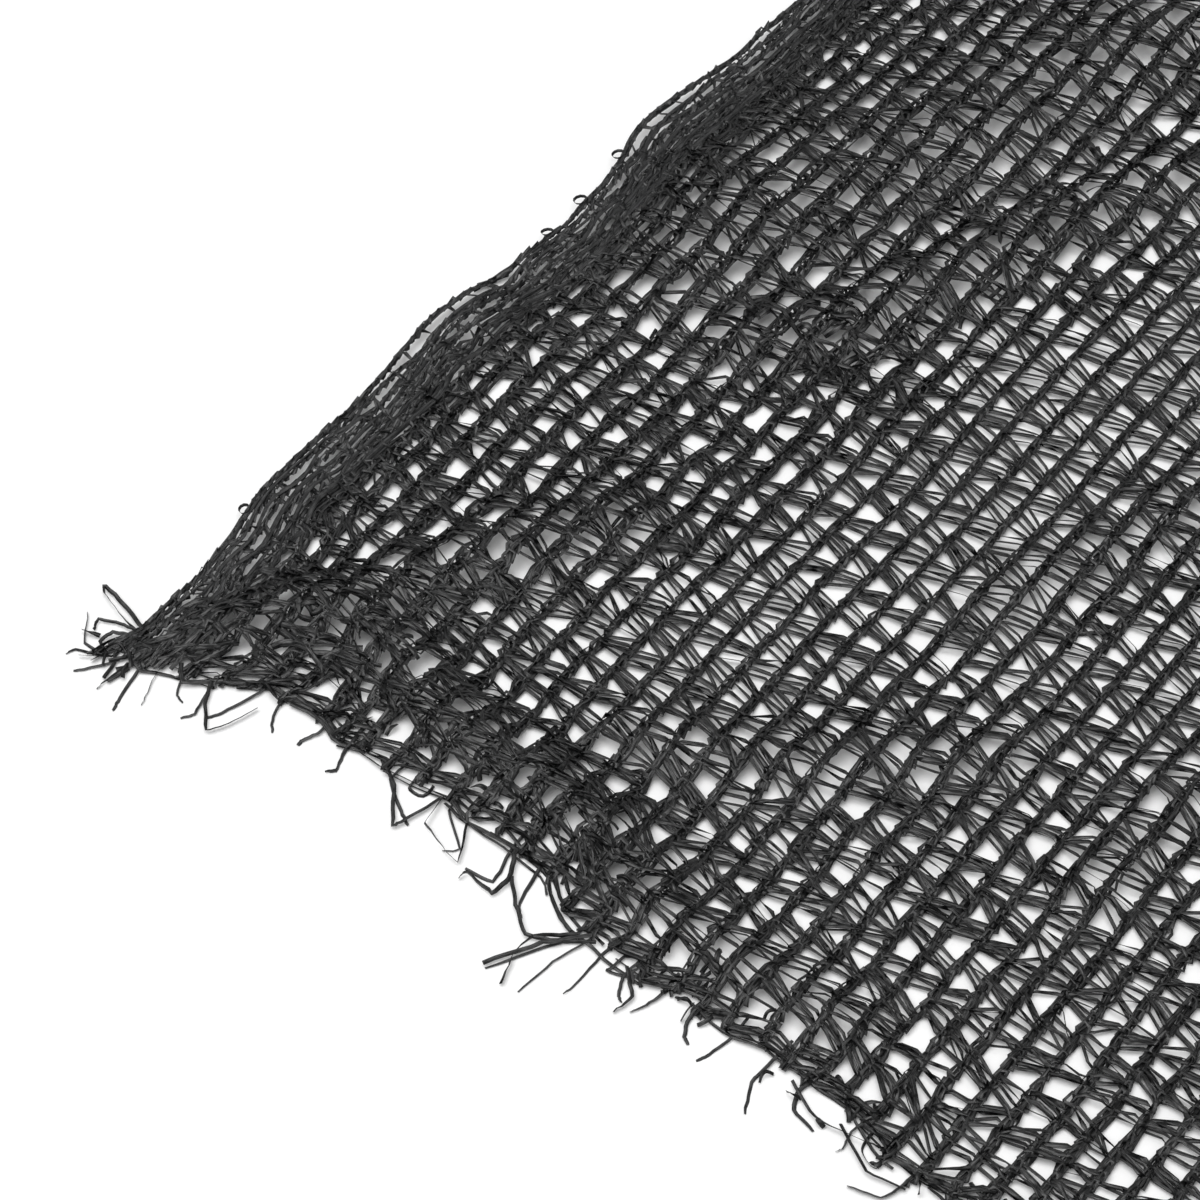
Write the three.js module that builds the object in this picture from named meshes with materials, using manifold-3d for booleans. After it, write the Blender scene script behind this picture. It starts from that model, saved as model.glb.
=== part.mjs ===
// A cut corner length of knitted shade net, lying on a flat surface in low folds.
// Millimetres, +Z up. X runs across the net from its selvedge, Y along its wales from the cut edge.
import * as THREE from "three";
import { mergeVertices } from "three/addons/utils/BufferGeometryUtils.js";
import Module from "manifold-3d";

// Driving dimensions
const NEEDLES_PER_INCH = 3;
const WALE_PITCH = 25.4 / NEEDLES_PER_INCH;
const STROKE_PITCH = 8.64; // along a wale, from one crossing of the laid-in tapes to the next
const PITCH_FACTOR = 2; // the gaps are cut at twice the pitch of the knit
const CELL_WIDTH = PITCH_FACTOR * WALE_PITCH;
const CELL_LENGTH = PITCH_FACTOR * STROKE_PITCH;
const OPEN_COLUMNS = 16;
const OPEN_ROWS = 20;
const SELVEDGE_COLUMNS = 3;
const SELVEDGE_WIDTH = 34;
const FAR_SIDE_WIDTH = 9;
const PANEL_WIDTH = SELVEDGE_WIDTH + OPEN_COLUMNS * CELL_WIDTH + FAR_SIDE_WIDTH;
const PANEL_LENGTH = (OPEN_ROWS + 2) * CELL_LENGTH; // one closed row at the cut edge, one at the far end

// Thickness of the knit at its wales and between them
const WALE_THICKNESS = 2.2;
const WEB_THICKNESS = 1.4;

// Each gap is a triangle with a blunt tip, its base on one wale and its tip on the next
const WALE_HALF_WIDTH = 3.2;
const GAP_BASE_MARGIN = 2.9;
const GAP_TIP_HALF = 2.5;

// The torn strip at the cut edge and the loose tape ends on it
const STRIP_CLEARANCE = 0.3;
const STRIP_DEPTHS = [3.4, 5.2, 2.8, 4.6, 3.8]; // how far the torn edge reaches, place after place
const STRIP_THICKNESS = 1.6;
const STRAND_WIDTH = 1.5;
const STRAND_THICKNESS = 0.9;
const STRAND_ROOT = 2; // the roots start this far inside the strip
const STRAND_ROOT_LIFT = 0.3;

// How much the wales sway sideways in the middle of the panel, and over what length
const SWAY = 0.5;
const SWAY_LENGTH = 130;

// Edge waves die out this far into the panel
const SELVEDGE_WAVE_DEPTH = 60;
const CUT_EDGE_WAVE_DEPTH = 70;

// The selvedge's waves: how far the edge stands in (+) or out (-) along its length
const SELVEDGE_WAVES = [
  { at: 0, offset: -1 },
  { at: 12, offset: 3 },
  { at: 26, offset: 3.5 },
  { at: 40, offset: 2 },
  { at: 62, offset: -2 },
  { at: 92, offset: -1.5 },
  { at: 115, offset: -2 },
  { at: 132, offset: -3.5 },
  { at: 146, offset: -1.5 },
  { at: 160, offset: 1 },
  { at: 180, offset: 3 },
  { at: 196, offset: 2.5 },
  { at: 208, offset: 0.5 },
  { at: 223, offset: -2 },
  { at: 242, offset: -0.5 },
  { at: 264, offset: 2.5 },
  { at: 300, offset: 3 },
  { at: 340, offset: 0 },
  { at: PANEL_LENGTH, offset: 1 },
];

// The cut edge's waves: how far the edge stands in (+) or out (-) across the net
const CUT_EDGE_WAVES = [
  { at: 0, offset: -4 },
  { at: 10, offset: -3 },
  { at: 18, offset: 1.5 },
  { at: 28, offset: 4.5 },
  { at: 50, offset: 11 },
  { at: 64, offset: 9.5 },
  { at: 80, offset: 9.5 },
  { at: 116, offset: 10 },
  { at: 131, offset: 7 },
  { at: 146, offset: -1 },
  { at: 186, offset: -2.5 },
  { at: 205, offset: -1 },
  { at: 225, offset: -4 },
  { at: 250, offset: -11 },
  { at: 280, offset: -7.5 },
  { at: PANEL_WIDTH, offset: -5.5 },
];

// The folds it lies in: each a straight crest from one place to another, with its height and reach
const FOLDS = [
  { name: "raised selvedge, near", across: 6, along: 22, toAcross: 6, toAlong: 140, height: 3, reach: 16 },
  { name: "raised selvedge, far", across: 4, along: 165, toAcross: 4, toAlong: 345, height: 3, reach: 15 },
  { name: "broad hump", across: 36, along: 195, toAcross: 66, toAlong: 270, height: 4.5, reach: 42 },
  { name: "broad hump, far", across: 66, along: 270, toAcross: 84, toAlong: 330, height: 4.5, reach: 38 },
  { name: "pinched crease", across: 64, along: 175, toAcross: 86, toAlong: 200, height: 4.5, reach: 17 },
  { name: "crease, far", across: 86, along: 200, toAcross: 122, toAlong: 293, height: 4.5, reach: 18 },
  { name: "corner neck", across: 14, along: 14, toAcross: 40, toAlong: 41, height: 5.5, reach: 17 },
  { name: "corner fold", across: 40, along: 41, toAcross: 74, toAlong: 106, height: 4.5, reach: 17 },
  { name: "cut edge fold", across: 42, along: 38, toAcross: 86, toAlong: 22, height: 4.5, reach: 17 },
  { name: "cut edge fold, far", across: 86, along: 22, toAcross: 152, toAlong: 22, height: 4, reach: 16 },
  { name: "middle wrinkle", across: 119, along: 48, toAcross: 172, toAlong: 80, height: 3, reach: 16 },
  { name: "middle wrinkle, far", across: 172, along: 80, toAcross: 200, toAlong: 106, height: 3, reach: 15 },
  { name: "side wrinkle", across: 170, along: 146, toAcross: 194, toAlong: 206, height: 3, reach: 16 },
  { name: "front wrinkle", across: 172, along: 16, toAcross: 210, toAlong: 16, height: 3, reach: 15 },
  { name: "far side wrinkle", across: 238, along: 84, toAcross: 240, toAlong: 124, height: 3, reach: 16 },
  { name: "far end wrinkle", across: 76, along: 311, toAcross: 98, toAlong: 352, height: 4.5, reach: 20 },
];

// Bunched places, where the knit is pressed together and its gaps close up
const BUNCHES = [
  { name: "gathered corner", across: 42, along: 42, acrossReach: 26, alongReach: 32 },
  { name: "cut edge fold", across: 104, along: 26, acrossReach: 56, alongReach: 12 },
  { name: "pinched crease", across: 80, along: 186, acrossReach: 22, alongReach: 16 },
  { name: "crease, far", across: 110, along: 262, acrossReach: 10, alongReach: 20 },
  { name: "far end wrinkle", across: 82, along: 320, acrossReach: 14, alongReach: 20 },
];

// Loose tape ends: the root's place on the strip, a first stretch out of it, then a bend
const STRANDS = [
  { root: 1.5, out: 0.5, drift: -7, bendOut: -8, bendDrift: -6 },
  { root: 3, out: 3.5, drift: -9, bendOut: 2.5, bendDrift: -1 },
  { root: 5, out: 7, drift: -5, bendOut: 2, bendDrift: -2 },
  { root: 8, out: 8, drift: -1.5, bendOut: 2, bendDrift: 0 },
  { root: 11.5, out: 9, drift: 2, bendOut: 4, bendDrift: 1 },
  { root: 16, out: 6, drift: 2, bendOut: 4, bendDrift: 1.5 },
  { root: 22, out: 4, drift: 2, bendOut: 1, bendDrift: 2.5 },
  { root: 28.5, out: 8, drift: 2, bendOut: 3, bendDrift: -2 },
  { root: 39, out: 9, drift: -3, bendOut: 4, bendDrift: -2.5 },
  { root: 47, out: 5, drift: 2, bendOut: 2, bendDrift: 2 },
  { root: 58, out: 4.5, drift: -2, bendOut: 2, bendDrift: 0 },
  { root: 68, out: 6, drift: 2, bendOut: 2, bendDrift: -2 },
  { root: 83, out: 6, drift: 8, bendOut: 2, bendDrift: 4 },
  { root: 99, out: 7, drift: 9, bendOut: 3, bendDrift: -3 },
  { root: 120, out: 9, drift: 2, bendOut: 1, bendDrift: -8 },
  { root: 127, out: 9, drift: 2, bendOut: 3, bendDrift: 3 },
  { root: 146, out: 6, drift: -4, bendOut: 14, bendDrift: -8 },
  { root: 150.5, out: 9, drift: -3, bendOut: 12, bendDrift: -1.5 },
  { root: 156, out: 11, drift: 0, bendOut: 3, bendDrift: -1 },
  { root: 163, out: 4.5, drift: 2, bendOut: 1.5, bendDrift: 2 },
  { root: 172, out: 5, drift: -2, bendOut: 2, bendDrift: -1 },
  { root: 182, out: 4.5, drift: 2, bendOut: 1, bendDrift: 2 },
  { root: 194, out: 7, drift: -2, bendOut: 2, bendDrift: -1 },
  { root: 205, out: 6, drift: -0.5, bendOut: 8, bendDrift: 4 },
  { root: 216, out: 5, drift: 2, bendOut: 2, bendDrift: 7 },
  { root: 232, out: 4.5, drift: 1, bendOut: 2, bendDrift: -1 },
  { root: 249, out: 5, drift: -2, bendOut: 2, bendDrift: -8 },
  { root: 260, out: 6, drift: 2, bendOut: 3, bendDrift: 2 },
  { root: 272, out: 4.5, drift: -1, bendOut: 2, bendDrift: -2 },
  { root: 284, out: 7, drift: 1, bendOut: 3, bendDrift: -3 },
  { root: 296, out: 5, drift: -1, bendOut: 2, bendDrift: 2 },
  { root: 307, out: 6, drift: 1, bendOut: 2, bendDrift: 1 },
];

const TAPE_COLOUR = 0x2c2d2f;
const TAPE_ROUGHNESS = 0.5;

// A table's offset at a place, eased between its rows and held past its ends
function offsetAt(rows, place) {
  const last = rows.length - 1;
  const next = rows.findIndex((row) => row.at > place);
  if (next === 0) return rows[0].offset;
  if (next < 0) return rows[last].offset;
  const before = rows[next - 1];
  const share = THREE.MathUtils.smoothstep(place, before.at, rows[next].at);
  return THREE.MathUtils.lerp(before.offset, rows[next].offset, share);
}

// A fold's height at a place: a rounded crest that meets the surface smoothly at its reach
function crestHeight(fold, across, along) {
  const runAcross = fold.toAcross - fold.across;
  const runAlong = fold.toAlong - fold.along;
  const sideAcross = across - fold.across;
  const sideAlong = along - fold.along;
  const share = (sideAcross * runAcross + sideAlong * runAlong) / (runAcross ** 2 + runAlong ** 2);
  const nearest = THREE.MathUtils.clamp(share, 0, 1);
  const distance = Math.hypot(sideAcross - nearest * runAcross, sideAlong - nearest * runAlong);
  if (distance >= fold.reach) return 0;
  return fold.height * Math.cos((Math.PI / 2) * (distance / fold.reach)) ** 2;
}

// How far the net is lifted off the surface, with crossing folds blended
function liftAt(across, along) {
  const cubes = FOLDS.map((fold) => crestHeight(fold, across, along) ** 3);
  return Math.cbrt(cubes.reduce((sum, cube) => sum + cube, 0));
}

// Where a place on the flat cloth lies, with an extra height above its underside
function lay(across, along, above = 0) {
  const inFromSelvedge = 1 - THREE.MathUtils.clamp(across / SELVEDGE_WAVE_DEPTH, 0, 1);
  const inFromCut = 1 - THREE.MathUtils.clamp(along / CUT_EDGE_WAVE_DEPTH, 0, 1);
  const middle = Math.sin((Math.PI * THREE.MathUtils.clamp(across, 0, PANEL_WIDTH)) / PANEL_WIDTH);
  const sway = SWAY * middle * Math.sin((2 * Math.PI * along) / SWAY_LENGTH);
  return new THREE.Vector3(
    across + offsetAt(SELVEDGE_WAVES, along) * inFromSelvedge + sway,
    along + offsetAt(CUT_EDGE_WAVES, across) * inFromCut,
    liftAt(across, along) + above,
  );
}

// The wale lines that bound the columns of cells
function waleLines() {
  const lines = [];
  for (let i = 0; i <= SELVEDGE_COLUMNS; i++) lines.push((i * SELVEDGE_WIDTH) / SELVEDGE_COLUMNS);
  for (let i = 1; i <= OPEN_COLUMNS; i++) lines.push(SELVEDGE_WIDTH + i * CELL_WIDTH);
  lines.push(PANEL_WIDTH);
  return lines;
}

function isBunched(across, along) {
  return BUNCHES.some(
    (bunch) =>
      Math.hypot((across - bunch.across) / bunch.acrossReach, (along - bunch.along) / bunch.alongReach) < 1,
  );
}

function isOpenCell(column, row, lines) {
  const inColumns = column >= SELVEDGE_COLUMNS && column < SELVEDGE_COLUMNS + OPEN_COLUMNS;
  const inRows = row >= 1 && row <= OPEN_ROWS;
  const middleAcross = (lines[column] + lines[column + 1]) / 2;
  return inColumns && inRows && !isBunched(middleAcross, (row + 0.5) * CELL_LENGTH);
}

// A mesh under construction: triangles are added by corner, and equal corners are merged at the end
class Shell {
  corners = [];

  triangle(a, b, c) {
    for (const point of [a, b, c]) this.corners.push(point.x, point.y, point.z);
  }

  quad(a, b, c, d) {
    this.triangle(a, b, c);
    this.triangle(a, c, d);
  }

  geometry() {
    const loose = new THREE.BufferGeometry();
    loose.setAttribute("position", new THREE.Float32BufferAttribute(this.corners, 3));
    return mergeVertices(loose, 1e-3);
  }
}

// A place in the knit with its points on the underside and on the top
function knitPoint(across, along, thickness) {
  return { under: lay(across, along), top: lay(across, along, thickness) };
}

// Both faces of one triangle of the knit, its corners given counter-clockwise from above
function knitTriangle(shell, a, b, c) {
  shell.triangle(a.top, b.top, c.top);
  shell.triangle(c.under, b.under, a.under);
}

// A wall between the two faces, on the right-hand side of the way from a to b seen from above
function knitWall(shell, a, b) {
  shell.quad(a.under, b.under, b.top, a.top);
}

// A cell's rim, counter-clockwise from its near selvedge-side corner, with a point halfway along each wale
function cellRim(column, row, lines) {
  const [left, right] = [lines[column], lines[column + 1]];
  const [near, far] = [row * CELL_LENGTH, (row + 1) * CELL_LENGTH];
  const half = (near + far) / 2;
  const places = [[left, near], [right, near], [right, half], [right, far], [left, far], [left, half]];
  return places.map(([across, along]) => knitPoint(across, along, WALE_THICKNESS));
}

// A closed cell dips to the web's thickness in its middle, so its wales stand up as ribs
function addClosedCell(shell, rim, column, row, lines) {
  const middleAcross = (lines[column] + lines[column + 1]) / 2;
  const dip = knitPoint(middleAcross, (row + 0.5) * CELL_LENGTH, WEB_THICKNESS);
  rim.forEach((corner, i) => knitTriangle(shell, corner, rim[(i + 1) % rim.length], dip));
}

// The gap's corners in the same order, its base on the selvedge side in even rows, else on the far side
function gapCorners(column, row, lines) {
  const left = lines[column] + WALE_HALF_WIDTH;
  const right = lines[column + 1] - WALE_HALF_WIDTH;
  const half = (row + 0.5) * CELL_LENGTH;
  const baseHalf = CELL_LENGTH / 2 - GAP_BASE_MARGIN;
  const baseOnLeft = row % 2 === 0;
  const leftHalf = baseOnLeft ? baseHalf : GAP_TIP_HALF;
  const rightHalf = baseOnLeft ? GAP_TIP_HALF : baseHalf;
  const places = [
    [left, half - leftHalf],
    [right, half - rightHalf],
    [right, half + rightHalf],
    [left, half + leftHalf],
  ];
  return places.map(([across, along]) => knitPoint(across, along, WEB_THICKNESS));
}

function addOpenCell(shell, rim, gap) {
  const [nearLeft, nearRight, halfRight, farRight, farLeft, halfLeft] = rim;
  const [gapNearLeft, gapNearRight, gapFarRight, gapFarLeft] = gap;
  knitTriangle(shell, nearLeft, nearRight, gapNearRight);
  knitTriangle(shell, nearLeft, gapNearRight, gapNearLeft);
  knitTriangle(shell, nearRight, halfRight, gapNearRight);
  knitTriangle(shell, halfRight, gapFarRight, gapNearRight);
  knitTriangle(shell, halfRight, farRight, gapFarRight);
  knitTriangle(shell, farRight, farLeft, gapFarLeft);
  knitTriangle(shell, farRight, gapFarLeft, gapFarRight);
  knitTriangle(shell, farLeft, halfLeft, gapFarLeft);
  knitTriangle(shell, halfLeft, gapNearLeft, gapFarLeft);
  knitTriangle(shell, halfLeft, nearLeft, gapNearLeft);
  gap.forEach((corner, i) => knitWall(shell, gap[(i + 1) % gap.length], corner));
}

// The knitted panel in one piece: cells side by side, with walls round its outer edge
function netGeometry() {
  const shell = new Shell();
  const lines = waleLines();
  const lastColumn = lines.length - 2;
  const lastRow = OPEN_ROWS + 1;
  for (let column = 0; column <= lastColumn; column++) {
    for (let row = 0; row <= lastRow; row++) {
      const rim = cellRim(column, row, lines);
      if (isOpenCell(column, row, lines)) addOpenCell(shell, rim, gapCorners(column, row, lines));
      else addClosedCell(shell, rim, column, row, lines);
      const [nearLeft, nearRight, halfRight, farRight, farLeft, halfLeft] = rim;
      if (row === 0) knitWall(shell, nearLeft, nearRight);
      if (row === lastRow) knitWall(shell, farRight, farLeft);
      if (column === 0) {
        knitWall(shell, farLeft, halfLeft);
        knitWall(shell, halfLeft, nearLeft);
      }
      if (column === lastColumn) {
        knitWall(shell, nearRight, halfRight);
        knitWall(shell, halfRight, farRight);
      }
    }
  }
  return shell.geometry();
}

// A point of the torn strip, so far out from the net's cut edge
function stripPoint(across, out) {
  return { under: lay(across, -out), top: lay(across, -out, STRIP_THICKNESS) };
}

// The torn strip: its inner side follows the cut edge, its outer side is ragged with two teeth to a cell
function stripGeometry() {
  const shell = new Shell();
  const lines = waleLines();
  const depth = (tooth) => STRIP_DEPTHS[tooth % STRIP_DEPTHS.length];
  for (let column = 0; column < lines.length - 1; column++) {
    const [left, right] = [lines[column], lines[column + 1]];
    const innerLeft = stripPoint(left, STRIP_CLEARANCE);
    const innerRight = stripPoint(right, STRIP_CLEARANCE);
    const outerLeft = stripPoint(left, depth(2 * column));
    const outerHalf = stripPoint((left + right) / 2, depth(2 * column + 1));
    const outerRight = stripPoint(right, depth(2 * column + 2));
    knitTriangle(shell, outerLeft, outerHalf, innerLeft);
    knitTriangle(shell, outerHalf, innerRight, innerLeft);
    knitTriangle(shell, outerHalf, outerRight, innerRight);
    knitWall(shell, outerLeft, outerHalf);
    knitWall(shell, outerHalf, outerRight);
    knitWall(shell, innerRight, innerLeft);
    if (column === 0) knitWall(shell, innerLeft, outerLeft);
    if (column === lines.length - 2) knitWall(shell, outerRight, innerRight);
  }
  return shell.geometry();
}

// A loose tape end's way from its root in the strip down to the surface, where it lies level
function strandWay(strand) {
  const root = lay(strand.root, -STRAND_ROOT, STRAND_ROOT_LIFT);
  const knee = new THREE.Vector3(root.x + strand.drift, root.y - strand.out, 0);
  const tip = new THREE.Vector3(knee.x + strand.bendDrift, knee.y - strand.bendOut, 0);
  return [root, knee, tip];
}

// A four-sided tape along a way, upright at its sides, with its corners mitred in plan
function tapeGeometry(way) {
  const shell = new Shell();
  const headings = way.slice(1).map((point, i) => point.clone().sub(way[i]).setZ(0).normalize());
  const sections = way.map((point, i) => {
    const before = headings[Math.max(i - 1, 0)];
    const after = headings[Math.min(i, headings.length - 1)];
    const heading = before.clone().add(after).normalize();
    const side = new THREE.Vector3(heading.y, -heading.x, 0);
    side.multiplyScalar(STRAND_WIDTH / 2 / Math.max(heading.dot(after), Math.SQRT1_2));
    const rise = new THREE.Vector3(0, 0, STRAND_THICKNESS);
    const right = point.clone().add(side);
    const left = point.clone().sub(side);
    return [left, right, right.clone().add(rise), left.clone().add(rise)];
  });
  for (let i = 0; i < sections.length - 1; i++) {
    const [here, next] = [sections[i], sections[i + 1]];
    for (let k = 0; k < 4; k++) {
      const turn = (k + 1) % 4;
      shell.quad(here[turn], here[k], next[k], next[turn]);
    }
  }
  const [first, last] = [sections[0], sections[sections.length - 1]];
  shell.quad(first[0], first[1], first[2], first[3]);
  shell.quad(last[3], last[2], last[1], last[0]);
  return shell.geometry();
}

const wasm = await Module();
wasm.setup();

function solidOf(geometry) {
  const vertProperties = geometry.attributes.position.array;
  const triVerts = new Uint32Array(geometry.index.array);
  return new wasm.Manifold(new wasm.Mesh({ numProp: 3, vertProperties, triVerts }));
}

function geometryOf(solid) {
  const { vertProperties, triVerts } = solid.getMesh();
  const geometry = new THREE.BufferGeometry();
  geometry.setAttribute("position", new THREE.BufferAttribute(vertProperties, 3));
  geometry.setIndex(new THREE.BufferAttribute(triVerts, 1));
  return geometry;
}

// The torn strip with every loose tape end fused to it by its root
function frayedEdgeGeometry() {
  const strip = solidOf(stripGeometry());
  const strands = STRANDS.map((strand) => solidOf(tapeGeometry(strandWay(strand))));
  return geometryOf(strands.reduce((joined, strand) => joined.add(strand), strip));
}

function tapeMesh(name, geometry) {
  const material = new THREE.MeshStandardMaterial({
    color: TAPE_COLOUR,
    roughness: TAPE_ROUGHNESS,
    metalness: 0,
  });
  const mesh = new THREE.Mesh(geometry, material);
  mesh.name = name;
  return mesh;
}

const shadeNet = new THREE.Group();
shadeNet.add(tapeMesh("net", netGeometry()));
shadeNet.add(tapeMesh("frayed_edge", frayedEdgeGeometry()));

// The origin is at the middle of the whole, on the surface it lies on
const extent = new THREE.Box3().setFromObject(shadeNet);
const middle = extent.getCenter(new THREE.Vector3());
shadeNet.position.set(-middle.x, -middle.y, -extent.min.z);

export default shadeNet;
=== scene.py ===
"""Looks of the shade net: its chain stitches, laid-in tapes, drawn-in selvedge and frayed cut edge."""
import math
from collections import namedtuple
from functools import partial

import bpy
import numpy as np
from bpy.props import FloatProperty, FloatVectorProperty, IntProperty, PointerProperty
from bpy.types import NodeSocket, Operator, Panel, PropertyGroup
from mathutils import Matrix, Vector


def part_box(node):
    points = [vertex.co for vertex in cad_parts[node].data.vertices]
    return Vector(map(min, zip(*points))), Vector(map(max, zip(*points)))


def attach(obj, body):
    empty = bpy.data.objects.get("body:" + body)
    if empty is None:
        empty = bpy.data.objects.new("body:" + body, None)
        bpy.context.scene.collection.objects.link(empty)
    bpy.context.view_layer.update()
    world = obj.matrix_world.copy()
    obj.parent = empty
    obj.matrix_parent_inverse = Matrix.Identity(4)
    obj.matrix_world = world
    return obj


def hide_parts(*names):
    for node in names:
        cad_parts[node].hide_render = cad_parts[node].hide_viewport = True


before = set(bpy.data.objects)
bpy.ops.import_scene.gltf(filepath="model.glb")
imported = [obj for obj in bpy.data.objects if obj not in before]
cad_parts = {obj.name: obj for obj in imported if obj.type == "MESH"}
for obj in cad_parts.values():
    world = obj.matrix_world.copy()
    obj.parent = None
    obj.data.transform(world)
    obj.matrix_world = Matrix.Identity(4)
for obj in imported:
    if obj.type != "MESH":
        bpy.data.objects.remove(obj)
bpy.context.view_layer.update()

bl_info = {
    "name": "Shade net",
    "version": (1, 0, 0),
    "blender": (4, 5, 0),
    "location": "View3D > Sidebar > Shade net",
    "description": "Knits a corner length of shade net over its packed solids and lights it",
    "category": "Object",
}

# Sizes below are in millimetres on the flat cloth: across from the selvedge, along from the cut edge
MM = 0.001
WALE_PITCH = 25.4 / 3
STROKE_PITCH = 8.64
OPEN_COLUMNS = 16
OPEN_ROWS = 20
DENSE_SELVEDGE = 34
FAR_BORDER = 9
PANEL_WIDTH = DENSE_SELVEDGE + OPEN_COLUMNS * 2 * WALE_PITCH + FAR_BORDER
PANEL_LENGTH = (OPEN_ROWS + 2) * 2 * STROKE_PITCH

# The far corner of the net's solid is plain, so it gives the place of the flat cloth in the frame
NET_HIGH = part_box("net")[1]
CLOTH_ORIGIN = np.array([NET_HIGH.x / MM - PANEL_WIDTH, NET_HIGH.y / MM - PANEL_LENGTH, 0.0])
UP = np.array([0.0, 0.0, 1.0])

# Wales stand closest at the selvedge, and their gaps widen to the full pitch
FIRST_WALE = 1.0
LAST_WALE_MARGIN = 0.5
SELVEDGE_WALE_GAPS = [2.2, 3.0, 3.0, 3.2, 4.2, 5.8, 7.2, 8.2, 8.6, 8.8]
STITCHES_TO_A_STROKE = 3
STITCH_PITCH = STROKE_PITCH / STITCHES_TO_A_STROKE
WALE_WANDER = 0.25
CROWDED_WALE_WANDER = 0.8
SELVEDGE_WALE_WANDER = 0.8

# Bundles of laid-in tapes: their rise from wale to wale, their spread, and their stray from even places
Bundles = namedtuple("Bundles", "middle spread fan crowd")
FIRST_BUNDLE = 4.5
LAST_BUNDLE = 4.0
BUNDLE_SHIFT = 0.4
CROWDED_BUNDLE_SHIFT = 1.6
CLUMPING = 0.35
CLUMPING_RANGE = (0.4, 1.2)
FANNING = 0.35
CROWDED_FANNING = 0.8
STROKE_RISE = 2.6
RISE_RANGE = (0.8, 1.2)
CROWDED_RISE_LOSS = 0.6
STROKE_SPACING = 1.75
STROKE_SPREAD = 0.3
STROKE_SPREAD_CELL = 22.0
STROKE_UNEVEN = 0.38
CROWDED_UNEVEN = 1.5

# How the wales sway, how far the edges' waves reach into the panel, and how the cloth wanders and ripples
SWAY = 0.5
SWAY_LENGTH = 130
SELVEDGE_WAVE_DEPTH = 60
CUT_EDGE_WAVE_DEPTH = 70
WANDER = 0.5
WANDER_CELL = 26
CUT_EDGE_WANDER = 1.6
CUT_EDGE_WANDER_CELL = 8
CUT_EDGE_WANDER_DEPTH = 34
EDGE_CALM = 16
RIPPLE_HEIGHT = 0.6
RIPPLE_CELL = 21
SLOPE_STEP = 1.0

# Stretches where the edge cord stands away from the next wale, held by single tapes
Slit = namedtuple("Slit", "start end width")
EDGE_SLITS = [
    Slit(107, 160, 2.2), Slit(207, 245, 1.7), Slit(247, 259, 1.3), Slit(261, 280, 1.2),
    Slit(306, 338, 1.4),
]
SLIT_ENDS = 9
CORD_SHARE = 0.6

# Places along an edge and the edge's offset there
SELVEDGE_WAVES = [
    (0, -1), (12, 3), (26, 3.5), (40, 2), (62, -2), (92, -1.5),
    (115, -2), (132, -3.5), (146, -1.5), (160, 1), (180, 3), (196, 2.5),
    (208, 0.5), (223, -2), (242, -0.5), (264, 2.5), (300, 3), (340, 0),
    (PANEL_LENGTH, 1),
]
CUT_EDGE_WAVES = [
    (0, -4), (10, -3), (18, 1.5), (28, 4.5), (50, 11), (64, 9.5),
    (80, 9.5), (116, 10), (131, 7), (146, -1), (186, -2.5), (205, -1),
    (225, -4), (250, -11), (280, -7.5), (PANEL_WIDTH, -5.5),
]

# The folds the net lies in: each a straight crest with its height and reach
Fold = namedtuple("Fold", "across along to_across to_along height reach")
FOLDS = [
    Fold(6, 22, 6, 140, 3, 16), Fold(4, 165, 4, 345, 3, 15), Fold(36, 195, 66, 270, 4.5, 42),
    Fold(66, 270, 84, 330, 4.5, 38), Fold(64, 175, 86, 200, 4.5, 17),
    Fold(86, 200, 122, 293, 4.5, 18), Fold(14, 14, 40, 41, 5.5, 17), Fold(40, 41, 74, 106, 4.5, 17),
    Fold(42, 38, 86, 22, 4.5, 17), Fold(86, 22, 152, 22, 4, 16), Fold(119, 48, 172, 80, 3, 16),
    Fold(172, 80, 200, 106, 3, 15), Fold(170, 146, 194, 206, 3, 16), Fold(172, 16, 210, 16, 3, 15),
    Fold(238, 84, 240, 124, 3, 16), Fold(76, 311, 98, 352, 4.5, 20),
]

# Bunched places, where the knit is drawn together towards a middle, mostly along the wales
BUNCH_ACROSS_SHARE = 0.5
Bunch = namedtuple("Bunch", "across along across_reach along_reach pull")
BUNCHES = [
    Bunch(36, 40, 40, 40, 0.4), Bunch(66, 24, 34, 26, 0.45), Bunch(104, 20, 36, 26, 0.45),
    Bunch(148, 20, 30, 24, 0.4), Bunch(78, 186, 30, 26, 0.3), Bunch(110, 258, 24, 36, 0.2),
    Bunch(84, 316, 30, 34, 0.2), Bunch(64, 92, 22, 26, 0.2), Bunch(150, 68, 26, 18, 0.25),
    Bunch(182, 180, 24, 32, 0.2),
]

# One chain stitch, from its base round its loop: shares of the loop's half width and of the stitch pitch
StitchPoint = namedtuple("StitchPoint", "side forward height lean breadth")
CHAIN_STITCH = [
    StitchPoint(0.0, 0.0, 0.6, 0, 0.8),
    StitchPoint(-0.95, 0.5, 1.2, 14, 0.8),
    StitchPoint(-0.6, 1.25, 1.7, 18, 0.75),
    StitchPoint(0.6, 1.25, 1.7, 18, 0.75),
    StitchPoint(0.95, 0.5, 1.2, 14, 0.8),
    StitchPoint(0.1, 0.55, 0.6, 0, 0.8),
]
WALE_STARTS = (-1.5, 1.5)
WALE_END_STITCHES = 1.5
LOOP_HALF_WIDTH = 0.9
CROWDED_LOOP_SHARE = 0.55
SELVEDGE_LOOP_HALF_WIDTH = 0.5
EDGE_LOOP_HALF_WIDTH = 0.4
LOOP_WIDTH_RANGE = (0.6, 1.45)
LOOP_HEIGHT_RANGE = (0.8, 1.25)
LOOP_BREADTH_RANGE = (0.65, 1.25)
LOOP_SIDE_STRAY = 0.15
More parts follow.
